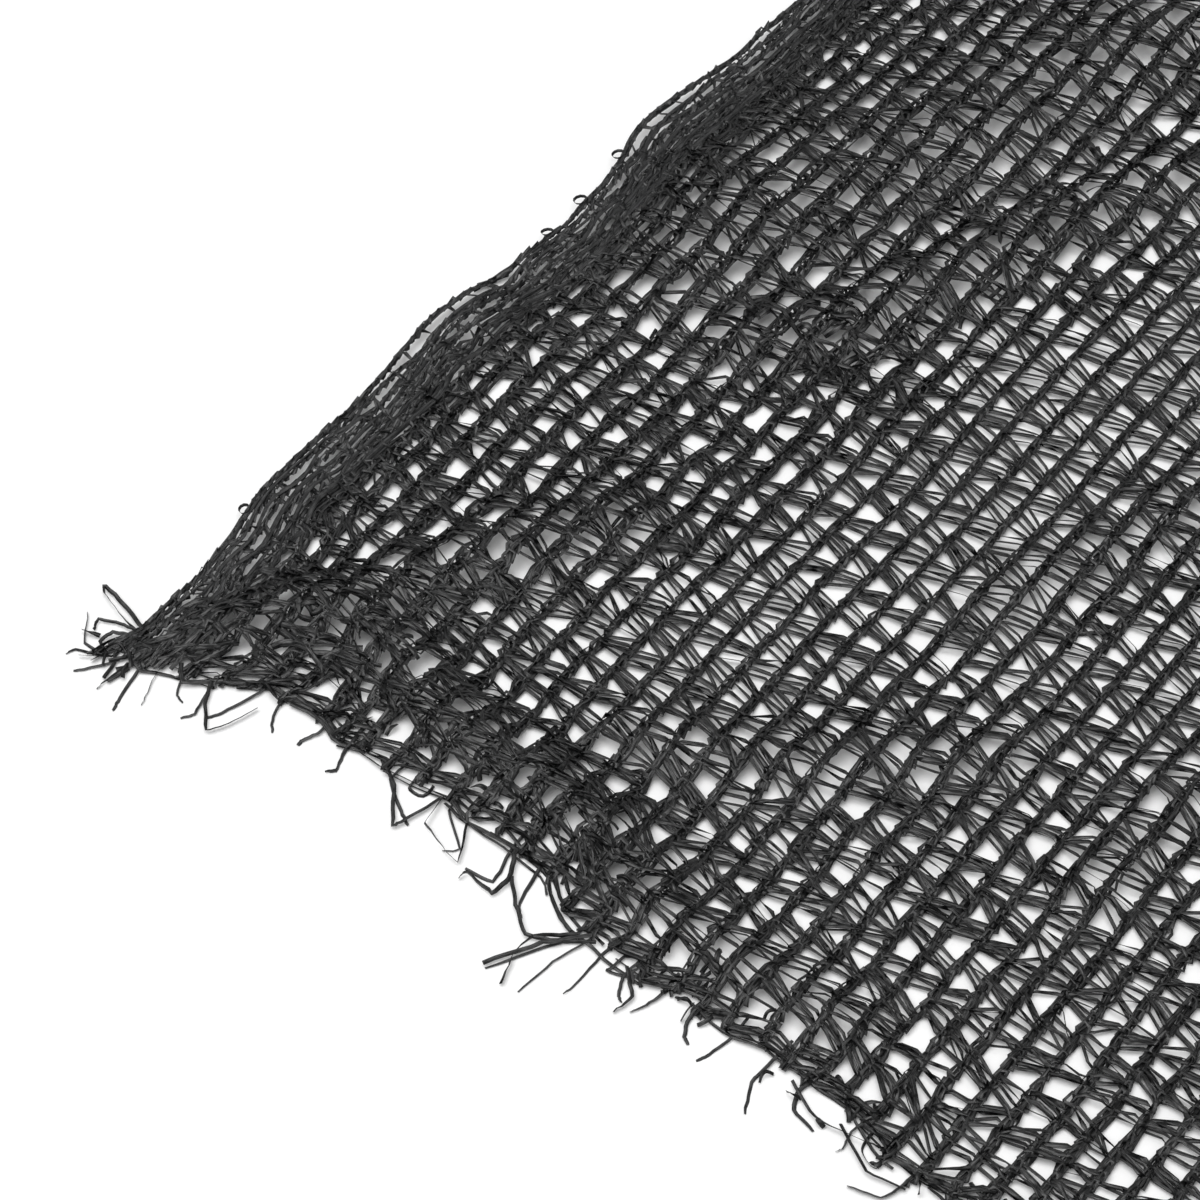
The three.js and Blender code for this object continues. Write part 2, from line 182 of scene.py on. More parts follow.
LOOP_FORWARD_STRAY = 0.07
LOOP_LEAN_STRAY = 26

# One stroke of a laid-in tape from wale to wale, then its rest along the wale: shares of the gap and the rise
StrokePoint = namedtuple("StrokePoint", "share advance height breadth flat")
STROKE = [
    StrokePoint(0.0, 0.0, 0.9, 0.85, 0.0),
    StrokePoint(0.25, 0.25, 1.3, 1.0, 1.0),
    StrokePoint(0.75, 0.75, 1.3, 1.0, 1.0),
    StrokePoint(1.0, 1.0, 0.9, 0.85, 0.0),
]
REST_HEIGHT = 0.8
REST_BREADTH = 0.7
LAYER_HEIGHT = 0.14
STROKE_SLACK = 0.3
STROKE_WAVE = 0.1
CROWDED_STROKE_WAVE = 0.45
CROWDED_SHARE_WAVE = 0.06
STROKE_TURN = 0.35
CROWDED_TURN = 0.7
STROKE_BREADTH = (0.5, 0.98)
CROWDED_NARROWING = 0.1
NARROW_GAP = 4.5
NARROW_GAP_TAPES = 2
EDGE_RUNGS = 1
FOLDED_TURN = math.radians(35)

# Tapes that run along each wale, by the crowding from which they are there
WALE_TAPES_CROWDED_FROM = [-1.0, -1.0, 0.3, 0.85, 1.0]
WALE_TAPE_CHANCE = 0.3
WALE_TAPE_STEP = 3.3
WALE_TAPE_SIDE = 0.75
WALE_TAPE_CROWDED_SIDE = 2.1
WALE_TAPE_HEIGHT = 1.3
WALE_TAPE_BREADTH = (0.5, 0.95)
SELVEDGE_WALES = 5
# Painted fill light: the wales' stitches are mixed this far toward a lighter grey, lifting the darkness of
# their stacked loops
WALE_PAINTED_FILL = 0.25

# Crowded places, where more tapes are laid in and they lie less straight
SELVEDGE_CROWD_END = 135
SELVEDGE_CROWD_FADE = 80
SELVEDGE_CROWD_SHARE = 0.78
Crowd = namedtuple("Crowd", "across along across_reach along_reach share")
CROWDS = [
    Crowd(60, 28, 56, 34, 1.08), Crowd(122, 22, 48, 30, 1.15), Crowd(230, 45, 150, 110, 0.5),
    Crowd(74, 140, 50, 66, 0.9), Crowd(50, 72, 30, 34, 1.05), Crowd(72, 94, 26, 28, 0.8),
    Crowd(190, 88, 34, 22, 0.7), Crowd(88, 186, 46, 36, 0.88), Crowd(190, 180, 28, 48, 0.6),
    Crowd(95, 230, 36, 48, 0.76), Crowd(118, 258, 34, 46, 0.68), Crowd(95, 320, 48, 48, 0.7),
    Crowd(270, 30, 26, 24, 0.7), Crowd(228, 12, 24, 20, 0.6), Crowd(268, 74, 26, 26, 0.6),
]
ExtraTape = namedtuple("ExtraTape", "crowded_from scatter")
EXTRA_TAPES = [ExtraTape(0.3, 2.8), ExtraTape(0.45, 3.6), ExtraTape(1.05, 4.2)]
EXTRA_TAPE_CHANCE = 0.25
EXTRA_TAPE_LAYER = 4

# Stray tapes that slant across a gap or lie along a wale, most of them in crowded places
STRAYS_TO_A_BUNDLE = 0.6
STRAYS_IN_OPEN_NET = 0.15
STRAYS_ACROSS = 0.65
STRAY_SHIFT = 2.2
STRAY_SLANT = 2.6
STRAY_BEND_ACROSS = 0.6
STRAY_BEND_ALONG = 1.3
STRAY_POINTS = 6
STRAY_HEIGHT = 0.7
STRAY_ARCH = (0.5, 1.4)
STRAY_BREADTH = (0.45, 0.8)
WIDE_STRAYS = 0.15
WIDE_STRAY_BREADTH = (1.1, 1.4)

# Loose tape ends: the root's place on the cut edge, a first stretch out of it, then a bend
Strand = namedtuple("Strand", "root out drift bend_out bend_drift")
STRANDS = [
    Strand(1.5, 0.5, -7, -8, -6), Strand(3, 3.5, -9, 2.5, -1), Strand(5, 7, -5, 2, -2),
    Strand(8, 8, -1.5, 2, 0), Strand(11.5, 9, 2, 4, 1), Strand(16, 6, 2, 4, 1.5),
    Strand(22, 4, 2, 1, 2.5), Strand(28.5, 8, 2, 3, -2), Strand(39, 9, -3, 4, -2.5),
    Strand(47, 5, 2, 2, 2), Strand(58, 4.5, -2, 2, 0), Strand(68, 6, 2, 2, -2),
    Strand(83, 6, 8, 2, 4), Strand(99, 7, 9, 3, -3), Strand(120, 9, 2, 1, -8),
    Strand(127, 9, 2, 3, 3), Strand(146, 6, -4, 14, -8), Strand(150.5, 9, -3, 12, -1.5),
    Strand(156, 11, 0, 3, -1), Strand(163, 4.5, 2, 1.5, 2), Strand(172, 5, -2, 2, -1),
    Strand(182, 4.5, 2, 1, 2), Strand(194, 7, -2, 2, -1), Strand(205, 6, -0.5, 8, 4),
    Strand(216, 5, 2, 2, 7), Strand(232, 4.5, 1, 2, -1), Strand(249, 5, -2, 2, -8),
    Strand(260, 6, 2, 3, 2), Strand(272, 4.5, -1, 2, -2), Strand(284, 7, 1, 3, -3),
    Strand(296, 5, -1, 2, 2), Strand(307, 6, 1, 2, 1),
]
STRAND_ROOT = 2
STRAND_INNER_END = 6.0
STRAND_HEIGHTS = (1.0, 0.9, 0.45, 0.3)
STRAND_POINTS = 16
STRAND_STRAY = 0.08
STRAND_BREADTH = (0.35, 0.65)
WIDE_ENDS = 0.15
WIDE_END_BREADTH = (0.7, 1.0)
POINTED_END = np.interp(np.linspace(0, 1, STRAND_POINTS), [0, 0.9, 1], [1, 1, 0.7])
LOOSE_END_GREY = 0.9
LOWEST_WAY = 0.25
KINK_SHARE = 0.65
FIRST_TURN = 0.5

# Places where slack tapes lie over the knit or stand up out of it, with their heading from across in degrees
Slack = namedtuple("Slack", "across along across_reach along_reach loops length heading spread rise breadth")
SLACKS = [
    Slack(13, 11, 11, 13, 26, 8, 52, 25, 0.9, 1.3),
    Slack(34, 30, 20, 16, 16, 7, 40, 35, 1.0, 1.4),
    Slack(58, 22, 34, 16, 20, 5, 70, 50, 1.2, 0.9),
    Slack(108, 14, 40, 12, 34, 5, 70, 60, 1.2, 0.9),
    Slack(150, 12, 40, 12, 24, 5, 80, 60, 1.3, 0.8),
    Slack(11, 110, 8, 105, 30, 4, 90, 25, 0.9, 0.8),
    Slack(11, 290, 8, 95, 30, 4, 90, 25, 0.9, 0.8),
    Slack(80, 188, 22, 12, 30, 6, 70, 45, 1.2, 1.2),
    Slack(108, 255, 12, 40, 20, 6, 80, 40, 1.0, 1.1),
    Slack(220, 2, 60, 8, 40, 5, 90, 60, 1.3, 0.7),
]
SLACK_POINTS = 7
SLACK_BEND = 0.8
SLACK_MARGIN = 1.5
SLACK_HEIGHT = 0.7
SLACK_RISE = 0.5

# The selvedge: tapes along it, tapes that fill its edge cord, and small loops that stand out of it
SELVEDGE_TAPES = 5
SELVEDGE_START = 3.4
SELVEDGE_DEPTH = 14
SELVEDGE_TAPE_STEP = 3.6
SELVEDGE_TAPE_STRAY = 0.4
SELVEDGE_TAPE_HEIGHT = 1.6
SELVEDGE_TAPE_BREADTH = (0.55, 0.95)
# Painted fill light: the selvedge's tapes are mixed this far toward a lighter grey, making up for light their
# close-packed tapes lose
SELVEDGE_PAINTED_FILL = 0.45
WALE_OVERLAP = 0.2
EDGE_CORD_TAPES = 3
CORD_TAPE_STEP = 2.6
CORD_TAPE_HEIGHT = 1.2
CORD_TAPE_BREADTH = (0.8, 1.05)
SELVEDGE_LOOPS_AT = [51, 174, 189, 209, 320, 352]
SELVEDGE_LOOP_RADIUS = 1.7
SELVEDGE_LOOP_POINTS = 14
SELVEDGE_LOOP_TURN = 1.2
SELVEDGE_LOOP_BREADTH = 0.55

# The cut edge: tapes pulled out along it, short ends, and loops that have come out of their stitches
CUT_EDGE_TAPES = 20
CUT_EDGE_TAPE_LENGTH = (25, 60)
CUT_EDGE_TAPE_STEP = 3.4
CUT_EDGE_TAPE_BREADTH = (0.4, 0.7)
LOOSE_TAPE_HEIGHT = 1.0
OPEN_LOOPS_AT = np.linspace(20, PANEL_WIDTH - 12, 5)
OPEN_LOOP_SHIFT = (-6, 6)
OPEN_LOOP_REACH = (1.5, 4.5)
OPEN_LOOP_WIDTH = (3, 8)
OPEN_LOOP_LEAN = (-3, 3)
OPEN_LOOP_POINTS = 13
OPEN_LOOP_BREADTH = (0.35, 0.6)
WALES_TO_A_SHORT_END = 3
SHORT_END_START = 1.5
SHORT_END_STRAY = 2.5
SHORT_END_LENGTH = (1.5, 4.0)
SHORT_END_CURL = 1.8
SHORT_END_POINTS = 6
SHORT_END_BREADTH = (0.45, 0.8)
CORNER_ENDS = 16
CORNER_END_ROOTS = (-1, 11)
CORNER_END_STARTS = (-3, 3)
CORNER_END_LENGTH = (3.5, 7)
LOOSE_LOOP_STRAY = 0.12
LOOSE_LOOP_BREADTH = (0.5, 0.8)
LOOSE_LOOPS = [
    [(5, 5), (-4, 8), (-13.5, 10), (-12.5, 8.5), (-4, 5.5), (4, 4)],
    [(2, 4), (-4, 3), (-8, 1), (-7, -2)],
    [(4, 3), (-2, 0), (-3, -4), (1, -6)],
    [(18, 3), (22, -1.5), (27, 2.5), (30, 5)],
    [(27, 4), (31, -3), (36.5, -9), (39.5, -4), (42, 4)],
    [(76, 11), (84, 6), (91.5, -3.5), (93, 0), (95.5, 10)],
    [(96, 11), (97.5, 1.5), (104, -1), (111, -2.5), (105.5, 8)],
    [(120, 9), (124, 1), (123.5, -5), (114.5, -3.5), (114, -6)],
    [(124, 2), (130, -4), (137, -9.5), (144, -6), (152, -1)],
    [(150, 0), (142, -9), (134, -22)],
    [(147, -2), (139, -8.5), (138, -15), (141, -24)],
    [(162, -2), (168, -8), (167, -14)],
    [(212, -4), (222, -9), (233, -8), (240, -6)],
    [(228, -7), (240, -13.5), (250, -12)],
]

# How tapes wander smoothly to the side, up and in turn: reach, cell, seed, and steps that part the tapes
Wander = namedtuple("Wander", "reach cell seed tape_step layer_step", defaults=[0])
WALE_PATH = [Wander(1.0, 12.0, 3, 3.7)]
WALE_TAPE_WANDERS = [
    Wander(1.6, 8.0, 51, 7.9, 31.7),
    Wander(0.5, 7.0, 52, 5.9, 17.3),
    Wander(0.9, 9.0, 53, 6.7, 13.1),
]
SELVEDGE_WANDERS = [Wander(1.8, 11.0, 31, 9.1), Wander(0.6, 11.0, 32, 5.3), Wander(0.7, 12.0, 33, 4.1)]
CORD_WANDERS = [Wander(0.5, 6.0, 34, 7.7), Wander(0.4, 6.0, 35, 3.9), Wander(0.6, 9.0, 36, 6.3)]
CUT_EDGE_WANDERS = [Wander(2.2, 14.0, 41, 6.1), Wander(0.6, 9.0, 42, 3.3), Wander(1.2, 10.0, 43, 8.7)]

# Seeds of the random draws, the side of the grid they fill, and how far the tapes' streaks are shifted
SELVEDGE_SEED = 21
SLACK_SEED = 22
FRAYED_SEED = 23
CROWDED_SEED = 24
STRAY_SEED = 25
BAND_SEED = 100
BUNDLE_SEED = 500
RIPPLE_SEED = 5
SPREAD_SEED = 11
WANDER_SEEDS = (1, 2)
CUT_EDGE_WANDER_SEEDS = (6, 7)
NOISE_GRID = 64
STREAK_SHIFT = 50

# The net's bands, the pieces that belong to it beside them, and a tape's least height over the floor
BANDS = 5
FLOOR_CLEARANCE = 0.2

# The tape's drawn streaks, and the ramps by which they and its rims change its colour, gloss and sheen; the
# duller sheen at its rims is painted shade
Ramp = namedtuple("Ramp", "start end low high")
STREAKS_ALONG = 0.25
STREAKS_ACROSS = 5.0
STREAK_NOISE = {"Scale": 1.6, "Detail": 3.0, "Roughness": 0.6}
STREAK_BUMP = {"Strength": 0.25, "Distance": 0.0002}
STREAK_TONES = Ramp(0.35, 0.75, 0.0, 1.0)
STREAK_ROUGHNESS = Ramp(0.3, 0.7, 0.26, 0.5)
STREAK_FLECKS = Ramp(0.4, 0.6, 0.0, 1.5)
RIM_PAINTED_SHADE = Ramp(0.7, 1.0, 1.0, 0.2)
TAPE_IOR = 1.5

# The floor's surface and the large soft light, in metres
FLOOR_ROUGHNESS = 0.7
FLOOR_SHEEN = 0.2
SOFTBOX_SIZE = 2.0
SOFTBOX_PLACE = (-0.2, -0.5, 1.75)

# The photograph's view: a long lens looking down on a place on the cloth
VIEW_AZIMUTH = math.radians(37.33)
VIEW_ELEVATION = math.radians(51.47)
VIEW_DISTANCE = 1145.9
VIEW_ACROSS = 88.5
VIEW_ALONG = 83.8
VIEW_LENS = 135.2


class NetSettings(PropertyGroup):
    """Sizes and colours of the tapes that a user would change"""

    tape_width: FloatProperty(
        name="Tape width", description="Width of the flat extruded tape", default=1.6 * MM, unit="LENGTH"
    )
    tape_thickness: FloatProperty(
        name="Tape thickness",
        description="Height of the crease along the middle of the tape",
        default=0.22 * MM,
        unit="LENGTH",
    )
    tapes_to_a_stroke: IntProperty(
        name="Tapes to a stroke",
        description="Tapes laid in side by side between two wales",
        default=4,
        min=1,
        max=6,
    )
    tape_colour: FloatVectorProperty(
        name="Tape colour",
        description="Colour of the black tape",
        default=(0.002, 0.0021, 0.0022),
        subtype="COLOR",
    )
    streak_colour: FloatVectorProperty(
        name="Streak colour",
        description="Greyer colour of the drawn streaks and worn places on the tape",
        default=(0.012, 0.0122, 0.0126),
        subtype="COLOR",
    )
    # This greyer colour is painted fill light on the crowded selvedge and the wales, not a rubbed tape; loose
    # ends take it as a lighter grey
    painted_fill_colour: FloatVectorProperty(
        name="Selvedge colour",
        description="Greyer colour of the rubbed tapes at the selvedge",
        default=(0.02, 0.0204, 0.021),
        subtype="COLOR",
    )
    # Painted shade: the sheen falls to a fifth at each tape's rims, drawing a dark outline along its edges
    sheen: FloatProperty(
        name="Sheen",
        description="How strongly the middle of a tape reflects, with duller rims",
        default=0.72,
        min=0.0,
        max=1.0,
    )


class StageSettings(PropertyGroup):
    """Floor and light around the net"""

    floor_size: FloatProperty(
        name="Floor size", description="Side of the square floor", default=6.0, unit="LENGTH"
    )
    floor_colour: FloatVectorProperty(
        name="Floor colour",
        description="Colour of the pale floor",
        default=(0.93, 0.93, 0.93),
        subtype="COLOR",
    )
    sky_strength: FloatProperty(
        name="Even light", description="Strength of the even light from all round", default=0.52
    )
    softbox_power: FloatProperty(
        name="Softbox power", description="Power of the large soft light overhead", default=29.5, unit="POWER"
    )


def eased(share):
    """0 up to 0, 1 from 1 on, and a soft rise between."""
    share = np.clip(share, 0, 1)
    return share * share * (3 - 2 * share)


def wave_offset(waves, place):
    """The edge's offset at a place, eased between the rows."""
    at, offset = np.array(waves, float).T
    after = np.clip(np.searchsorted(at, place, side="right"), 1, len(at) - 1)
    share = eased((place - at[after - 1]) / (at[after] - at[after - 1]))
    return offset[after - 1] + share * (offset[after] - offset[after - 1])


def unevenness(across, along, cell, seed):
    """Smooth random values from -1 to 1, with one free value to a square cell of the cloth."""
    grid = np.random.default_rng(seed).uniform(-1, 1, (NOISE_GRID, NOISE_GRID))
    across_cells = np.asarray(across, float) / cell
    along_cells = np.asarray(along, float) / cell
    column = np.floor(across_cells).astype(int)
    row = np.floor(along_cells).astype(int)
    right = eased(across_cells - column)
    up = eased(along_cells - row)

    def corner(columns_on, rows_on):
        return grid[(column + columns_on) % NOISE_GRID, (row + rows_on) % NOISE_GRID]

    near = corner(0, 0) * (1 - right) + corner(1, 0) * right
    far = corner(0, 1) * (1 - right) + corner(1, 1) * right
    return near * (1 - up) + far * up


def wandering(wanders, place, tape, layer=0, lies_across=False):
    """Values of smooth wanders at places on a tape, which differ from tape to tape and layer to layer."""
    values = []
    for wander in wanders:
        track = wander.tape_step * tape + wander.layer_step * layer
        across, along = (place, track) if lies_across else (track, place)
        values.append(wander.reach * unevenness(across, along, wander.cell, wander.seed))
    return values


def crest(fold, across, along):
    """Height of one fold, which falls off to both sides of its straight crest."""
    run_across = fold.to_across - fold.across
    run_along = fold.to_along - fold.along
    side_across = across - fold.across
    side_along = along - fold.along
    share = (side_across * run_across + side_along * run_along) / (run_across**2 + run_along**2)
    share = np.clip(share, 0, 1)
    distance = np.hypot(side_across - share * run_across, side_along - share * run_along)
    return fold.height * np.cos(np.pi / 2 * np.minimum(distance / fold.reach, 1)) ** 2


def lift(across, along):
    """Height of the cloth over the surface it lies on, with crossing folds blended."""
    cubes = sum(crest(fold, across, along) ** 3 for fold in FOLDS)
    ripple = np.maximum(unevenness(across, along, RIPPLE_CELL, RIPPLE_SEED), 0)
    return np.cbrt(cubes) + RIPPLE_HEIGHT * ripple * inside(across, along)


def inside(across, along):
    """0 at the panel's edges, 1 well inside."""
    nearest = np.minimum(np.minimum(across, PANEL_WIDTH - across), np.minimum(along, PANEL_LENGTH - along))
    return eased(nearest / EDGE_CALM)


def reach_from(spot, across, along):
    """Distance from a spot's middle, as a share of its reach."""
    return np.hypot((across - spot.across) / spot.across_reach, (along - spot.along) / spot.along_reach)


def gathered(across, along):
    """Places on the flat cloth after it is drawn together in its bunches and wanders a little."""
    calm = WANDER * inside(across, along)
    tangled = CUT_EDGE_WANDER * (1 - eased(along / CUT_EDGE_WANDER_DEPTH))
    moved = []
    for place, seed, cut_seed in zip((across, along), WANDER_SEEDS, CUT_EDGE_WANDER_SEEDS):
        place = place + calm * unevenness(across, along, WANDER_CELL, seed)
        moved.append(place + tangled * unevenness(across, along, CUT_EDGE_WANDER_CELL, cut_seed))
    moved_across, moved_along = moved
    for bunch in BUNCHES:
        pull = bunch.pull * (1 - np.minimum(reach_from(bunch, moved_across, moved_along), 1)) ** 2
        moved_across = moved_across - BUNCH_ACROSS_SHARE * pull * (moved_across - bunch.across)
        moved_along = moved_along - pull * (moved_along - bunch.along)
    return moved_across, moved_along


def crowding(across, along):
    """How crowded the tapes lie, from 0 in the open net to about 1."""
    total = SELVEDGE_CROWD_SHARE * eased((SELVEDGE_CROWD_END - across) / SELVEDGE_CROWD_FADE)
    for crowd in CROWDS:
        total = np.maximum(total, crowd.share * eased(2 * (1 - reach_from(crowd, across, along))))
    return total


def between(open_value, crowded_value, crowd):
    """A value between those of the open net and of crowded places."""
    return open_value + (crowded_value - open_value) * crowd


def lay(across, along, height):
    """Points over places on the flat cloth, in metres in the frame, and the way the cloth faces there."""
    across, along, height = np.broadcast_arrays(across, along, height)
    across, along = gathered(across.astype(float), along.astype(float))
    from_selvedge = 1 - np.clip(across / SELVEDGE_WAVE_DEPTH, 0, 1)
    from_cut = 1 - np.clip(along / CUT_EDGE_WAVE_DEPTH, 0, 1)
    reach = SWAY * np.sin(np.pi * np.clip(across / PANEL_WIDTH, 0, 1))
    sway = reach * np.sin(2 * np.pi * along / SWAY_LENGTH)
    x = across + wave_offset(SELVEDGE_WAVES, along) * from_selvedge + sway
    y = along + wave_offset(CUT_EDGE_WAVES, across) * from_cut
    base = np.stack([x, y, lift(across, along)], axis=-1)
    slope_across = (lift(across + SLOPE_STEP, along) - lift(across - SLOPE_STEP, along)) / (2 * SLOPE_STEP)
    slope_along = (lift(across, along + SLOPE_STEP) - lift(across, along - SLOPE_STEP)) / (2 * SLOPE_STEP)
    facing = np.stack([-slope_across, -slope_along, np.ones_like(across)], axis=-1)
    facing /= np.linalg.norm(facing, axis=-1, keepdims=True)
    return (base + facing * height[..., None] + CLOTH_ORIGIN) * MM, facing


def wale_places():
    """Where the wales stand across the flat cloth, from the selvedge to the far side."""
    drawn_in = FIRST_WALE + np.concatenate([[0], np.cumsum(SELVEDGE_WALE_GAPS)])
    even = np.arange(drawn_in[-1] + WALE_PITCH, PANEL_WIDTH - LAST_WALE_MARGIN, WALE_PITCH)
    return np.concatenate([drawn_in, even])


def slit_width(along):
    """How far the edge cord stands away from the next wale."""
    width = np.zeros(np.shape(along))
    for slit in EDGE_SLITS:
        from_end = np.minimum(along - slit.start, slit.end - along)
        width = np.maximum(width, slit.width * eased(from_end / SLIT_ENDS))
    return width


def wale_across(wale, along):
    """Where a wale runs at a place along it: its own place with a slight wander of its own."""
    home = wale_places()[wale]
    reach = WALE_WANDER
    if 1 < wale < SELVEDGE_WALES:
        reach = SELVEDGE_WALE_WANDER
    if wale >= SELVEDGE_WALES:
        reach = between(WALE_WANDER, CROWDED_WALE_WANDER, crowding(home, along))
    across = home + reach * wandering(WALE_PATH, along, wale)[0]
    if wale == 0:
        across = across - CORD_SHARE * slit_width(along)
    if wale == 1:
        across = across + (1 - CORD_SHARE) * slit_width(along)
    return across


def from_wale_to_next(wale, along, share):
    """Places across on the way from a wale to the next."""
    return wale_across(wale, along) * (1 - share) + wale_across(wale + 1, along) * share


def new_object(name, data):
    """A new object in the scene."""
    made = bpy.data.objects.new(name, data)
    bpy.context.scene.collection.objects.link(made)
    return made


def unit(vectors):
    """Vectors with the same headings and a length of 1."""
    return vectors / np.maximum(np.linalg.norm(vectors, axis=1, keepdims=True), 1e-9)


class TapeRuns:
    """Ways that tapes follow, gathered as arrays until they become one mesh"""

    def __init__(self):
        self.columns = {label: [] for label in ("co", "facing", "breadth", "run", "shade", "grey")}
        self.links = []
        self.count = 0

    def lay_tape(self, across, along, height, turn, breadth, rng, grey=0.0):
        """One tape over places on the flat cloth."""
        points, ups = lay(np.ravel(across), np.ravel(along), np.ravel(height))
        self.add(points, ups, np.ravel(turn), np.ravel(breadth), rng, grey)

    def lay_kept(self, kept, *columns, rng, grey=0.0):
        """One tape over each unbroken stretch of kept rows, if it has two points or more."""
        steps = np.diff(np.concatenate([[0], kept.astype(int), [0]]))
        for start, end in zip(np.flatnonzero(steps == 1), np.flatnonzero(steps == -1)):
            stretch = [column[start:end] for column in columns]
            if stretch[0].size > 1:
                self.lay_tape(*stretch, rng, grey)

    def add(self, points, ups, turn, breadth, rng, grey=0.0):
        """One tape: its points, the way up there, its turn, its share of the full width and its greyness."""
        count = len(points)
        heading = unit(np.gradient(points, axis=0))
        side = unit(np.cross(ups, heading))
        over = np.cross(heading, side)
        turn = np.broadcast_to(turn, count)
        steps = np.linalg.norm(np.diff(points, axis=0), axis=1)
        half_width = bpy.context.scene.net_settings.tape_width / 2
        lowest = half_width * breadth * np.abs(np.sin(turn)) + FLOOR_CLEARANCE * MM
        points[:, 2] = np.maximum(points[:, 2], lowest)
        values = {
            "co": points,
            "facing": np.cos(turn)[:, None] * over + np.sin(turn)[:, None] * side,
            "breadth": np.broadcast_to(breadth, count),
            "run": np.concatenate([[0], np.cumsum(steps)]) / MM,
            "shade": np.full(count, rng.uniform(0, STREAK_SHIFT)),
            "grey": np.full(count, grey),
        }
        for label, column in values.items():
            self.columns[label].append(column)
        first = self.count + np.arange(count - 1)
        self.links.append(np.stack([first, first + 1], axis=1))
        self.count += count

    def object(self, name):
        """These ways as an object, with what the sweep and the material read at each point."""
        mesh = bpy.data.meshes.new(name)
        links = np.concatenate(self.links)
        mesh.vertices.add(self.count)
        mesh.edges.add(len(links))
        mesh.edges.foreach_set("vertices", links.astype(np.int32).ravel())
        joined = {label: np.concatenate(parts).astype(np.float32) for label, parts in self.columns.items()}
        mesh.vertices.foreach_set("co", joined.pop("co").ravel())
        facing = mesh.attributes.new("facing", "FLOAT_VECTOR", "POINT")
        facing.data.foreach_set("vector", joined.pop("facing").ravel())
        for label, column in joined.items():
            mesh.attributes.new(label, "FLOAT", "POINT").data.foreach_set("value", column)
        return new_object(name, mesh)


def add_node(tree, kind, out, inputs, **options):
    """One output of a new node, whose inputs are set to values or linked to other nodes' outputs."""
    node = tree.nodes.new(kind)
    for name, value in options.items():
        setattr(node, name, value)
    for socket, value in inputs.items():
        if isinstance(value, NodeSocket):
            tree.links.new(value, node.inputs[socket])
        else:
            node.inputs[socket].default_value = value
    return node.outputs[out]


def tape_tree():
    """Geometry nodes that sweep a tape with a low crease along ways, facing as they say."""
    tree = bpy.data.node_groups.get("Tape along ways")
    if tree:
        return tree
    tree = bpy.data.node_groups.new("Tape along ways", "GeometryNodeTree")
    inputs = {"Ways": "Geometry", "Tape width": "Float", "Tape thickness": "Float", "Material": "Material"}
    for name, kind in inputs.items():
        tree.interface.new_socket(name, in_out="INPUT", socket_type=f"NodeSocket{kind}")
    tree.interface.new_socket("Tapes", in_out="OUTPUT", socket_type="NodeSocketGeometry")
    given = tree.nodes.new("NodeGroupInput").outputs
    made = tree.nodes.new("NodeGroupOutput").inputs
    node = partial(add_node, tree)

    def math_node(operation, value, other):
        return node("ShaderNodeMath", "Value", {0: value, 1: other}, operation=operation)

    # The section is a triangle on a circle: 1.5 radii high over its base, and root 3 radii wide
    section = node("GeometryNodeCurvePrimitiveCircle", "Curve", {"Resolution": 3, "Radius": 1.0})
    high = math_node("DIVIDE", given["Tape thickness"], 1.5)
    wide = math_node("DIVIDE", given["Tape width"], math.sqrt(3))
    stretch = node("ShaderNodeCombineXYZ", "Vector", {"X": high, "Y": wide, "Z": 1.0})
    creased = node("GeometryNodeTransform", "Geometry", {"Geometry": section, "Scale": stretch})
    cornered = node("GeometryNodeCurveSplineType", "Curve", {"Curve": creased}, spline_type="BEZIER")
    handles = {"handle_type": "VECTOR", "mode": {"LEFT", "RIGHT"}}
    crisp = node("GeometryNodeCurveSetHandles", "Curve", {"Curve": cornered}, **handles)
    off_crease = math_node("MINIMUM", node("GeometryNodeInputIndex", "Index", {}), 1.0)
    rim = {"Geometry": crisp, "Name": "rim", "Value": off_crease}
    profile = node("GeometryNodeStoreNamedAttribute", "Geometry", rim, data_type="FLOAT", domain="POINT")

    read = partial(node, "GeometryNodeInputNamedAttribute", "Attribute")
    facing = read({"Name": "facing"}, data_type="FLOAT_VECTOR")
    breadth = read({"Name": "breadth"}, data_type="FLOAT")
    ways = node("GeometryNodeMeshToCurve", "Curve", {"Mesh": given["Ways"]})
    turned = node("GeometryNodeSetCurveNormal", "Curve", {"Curve": ways, "Normal": facing}, mode="FREE")
    sweep = {"Curve": turned, "Profile Curve": profile, "Scale": breadth, "Fill Caps": True}
    swept = node("GeometryNodeCurveToMesh", "Mesh", sweep)
    realized = node("GeometryNodeRealizeInstances", "Geometry", {"Geometry": swept})
    dressed = {"Geometry": realized, "Material": given["Material"]}
    finished = node("GeometryNodeSetMaterial", "Geometry", dressed)
    tree.links.new(finished, made["Tapes"])
    return tree


def tape_piece(name, runs):
    """The tapes of these runs as one plain mesh piece that rides on the frame."""
    settings = bpy.context.scene.net_settings
    ways = runs.object(name + "_ways")
    tree = tape_tree()
    modifier = ways.modifiers.new("Tape", "NODES")
    modifier.node_group = tree
    sockets = {item.name: item.identifier for item in tree.interface.items_tree if item.in_out == "INPUT"}
    modifier[sockets["Tape width"]] = settings.tape_width
    modifier[sockets["Tape thickness"]] = settings.tape_thickness
    modifier[sockets["Material"]] = tape_material()
    shown = ways.evaluated_get(bpy.context.evaluated_depsgraph_get())
    mesh = bpy.data.meshes.new_from_object(shown)
    mesh.name = name
    piece = new_object(name, mesh)
    way_mesh = ways.data
    bpy.data.objects.remove(ways)
    bpy.data.meshes.remove(way_mesh)
    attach(piece, "root")
    return piece


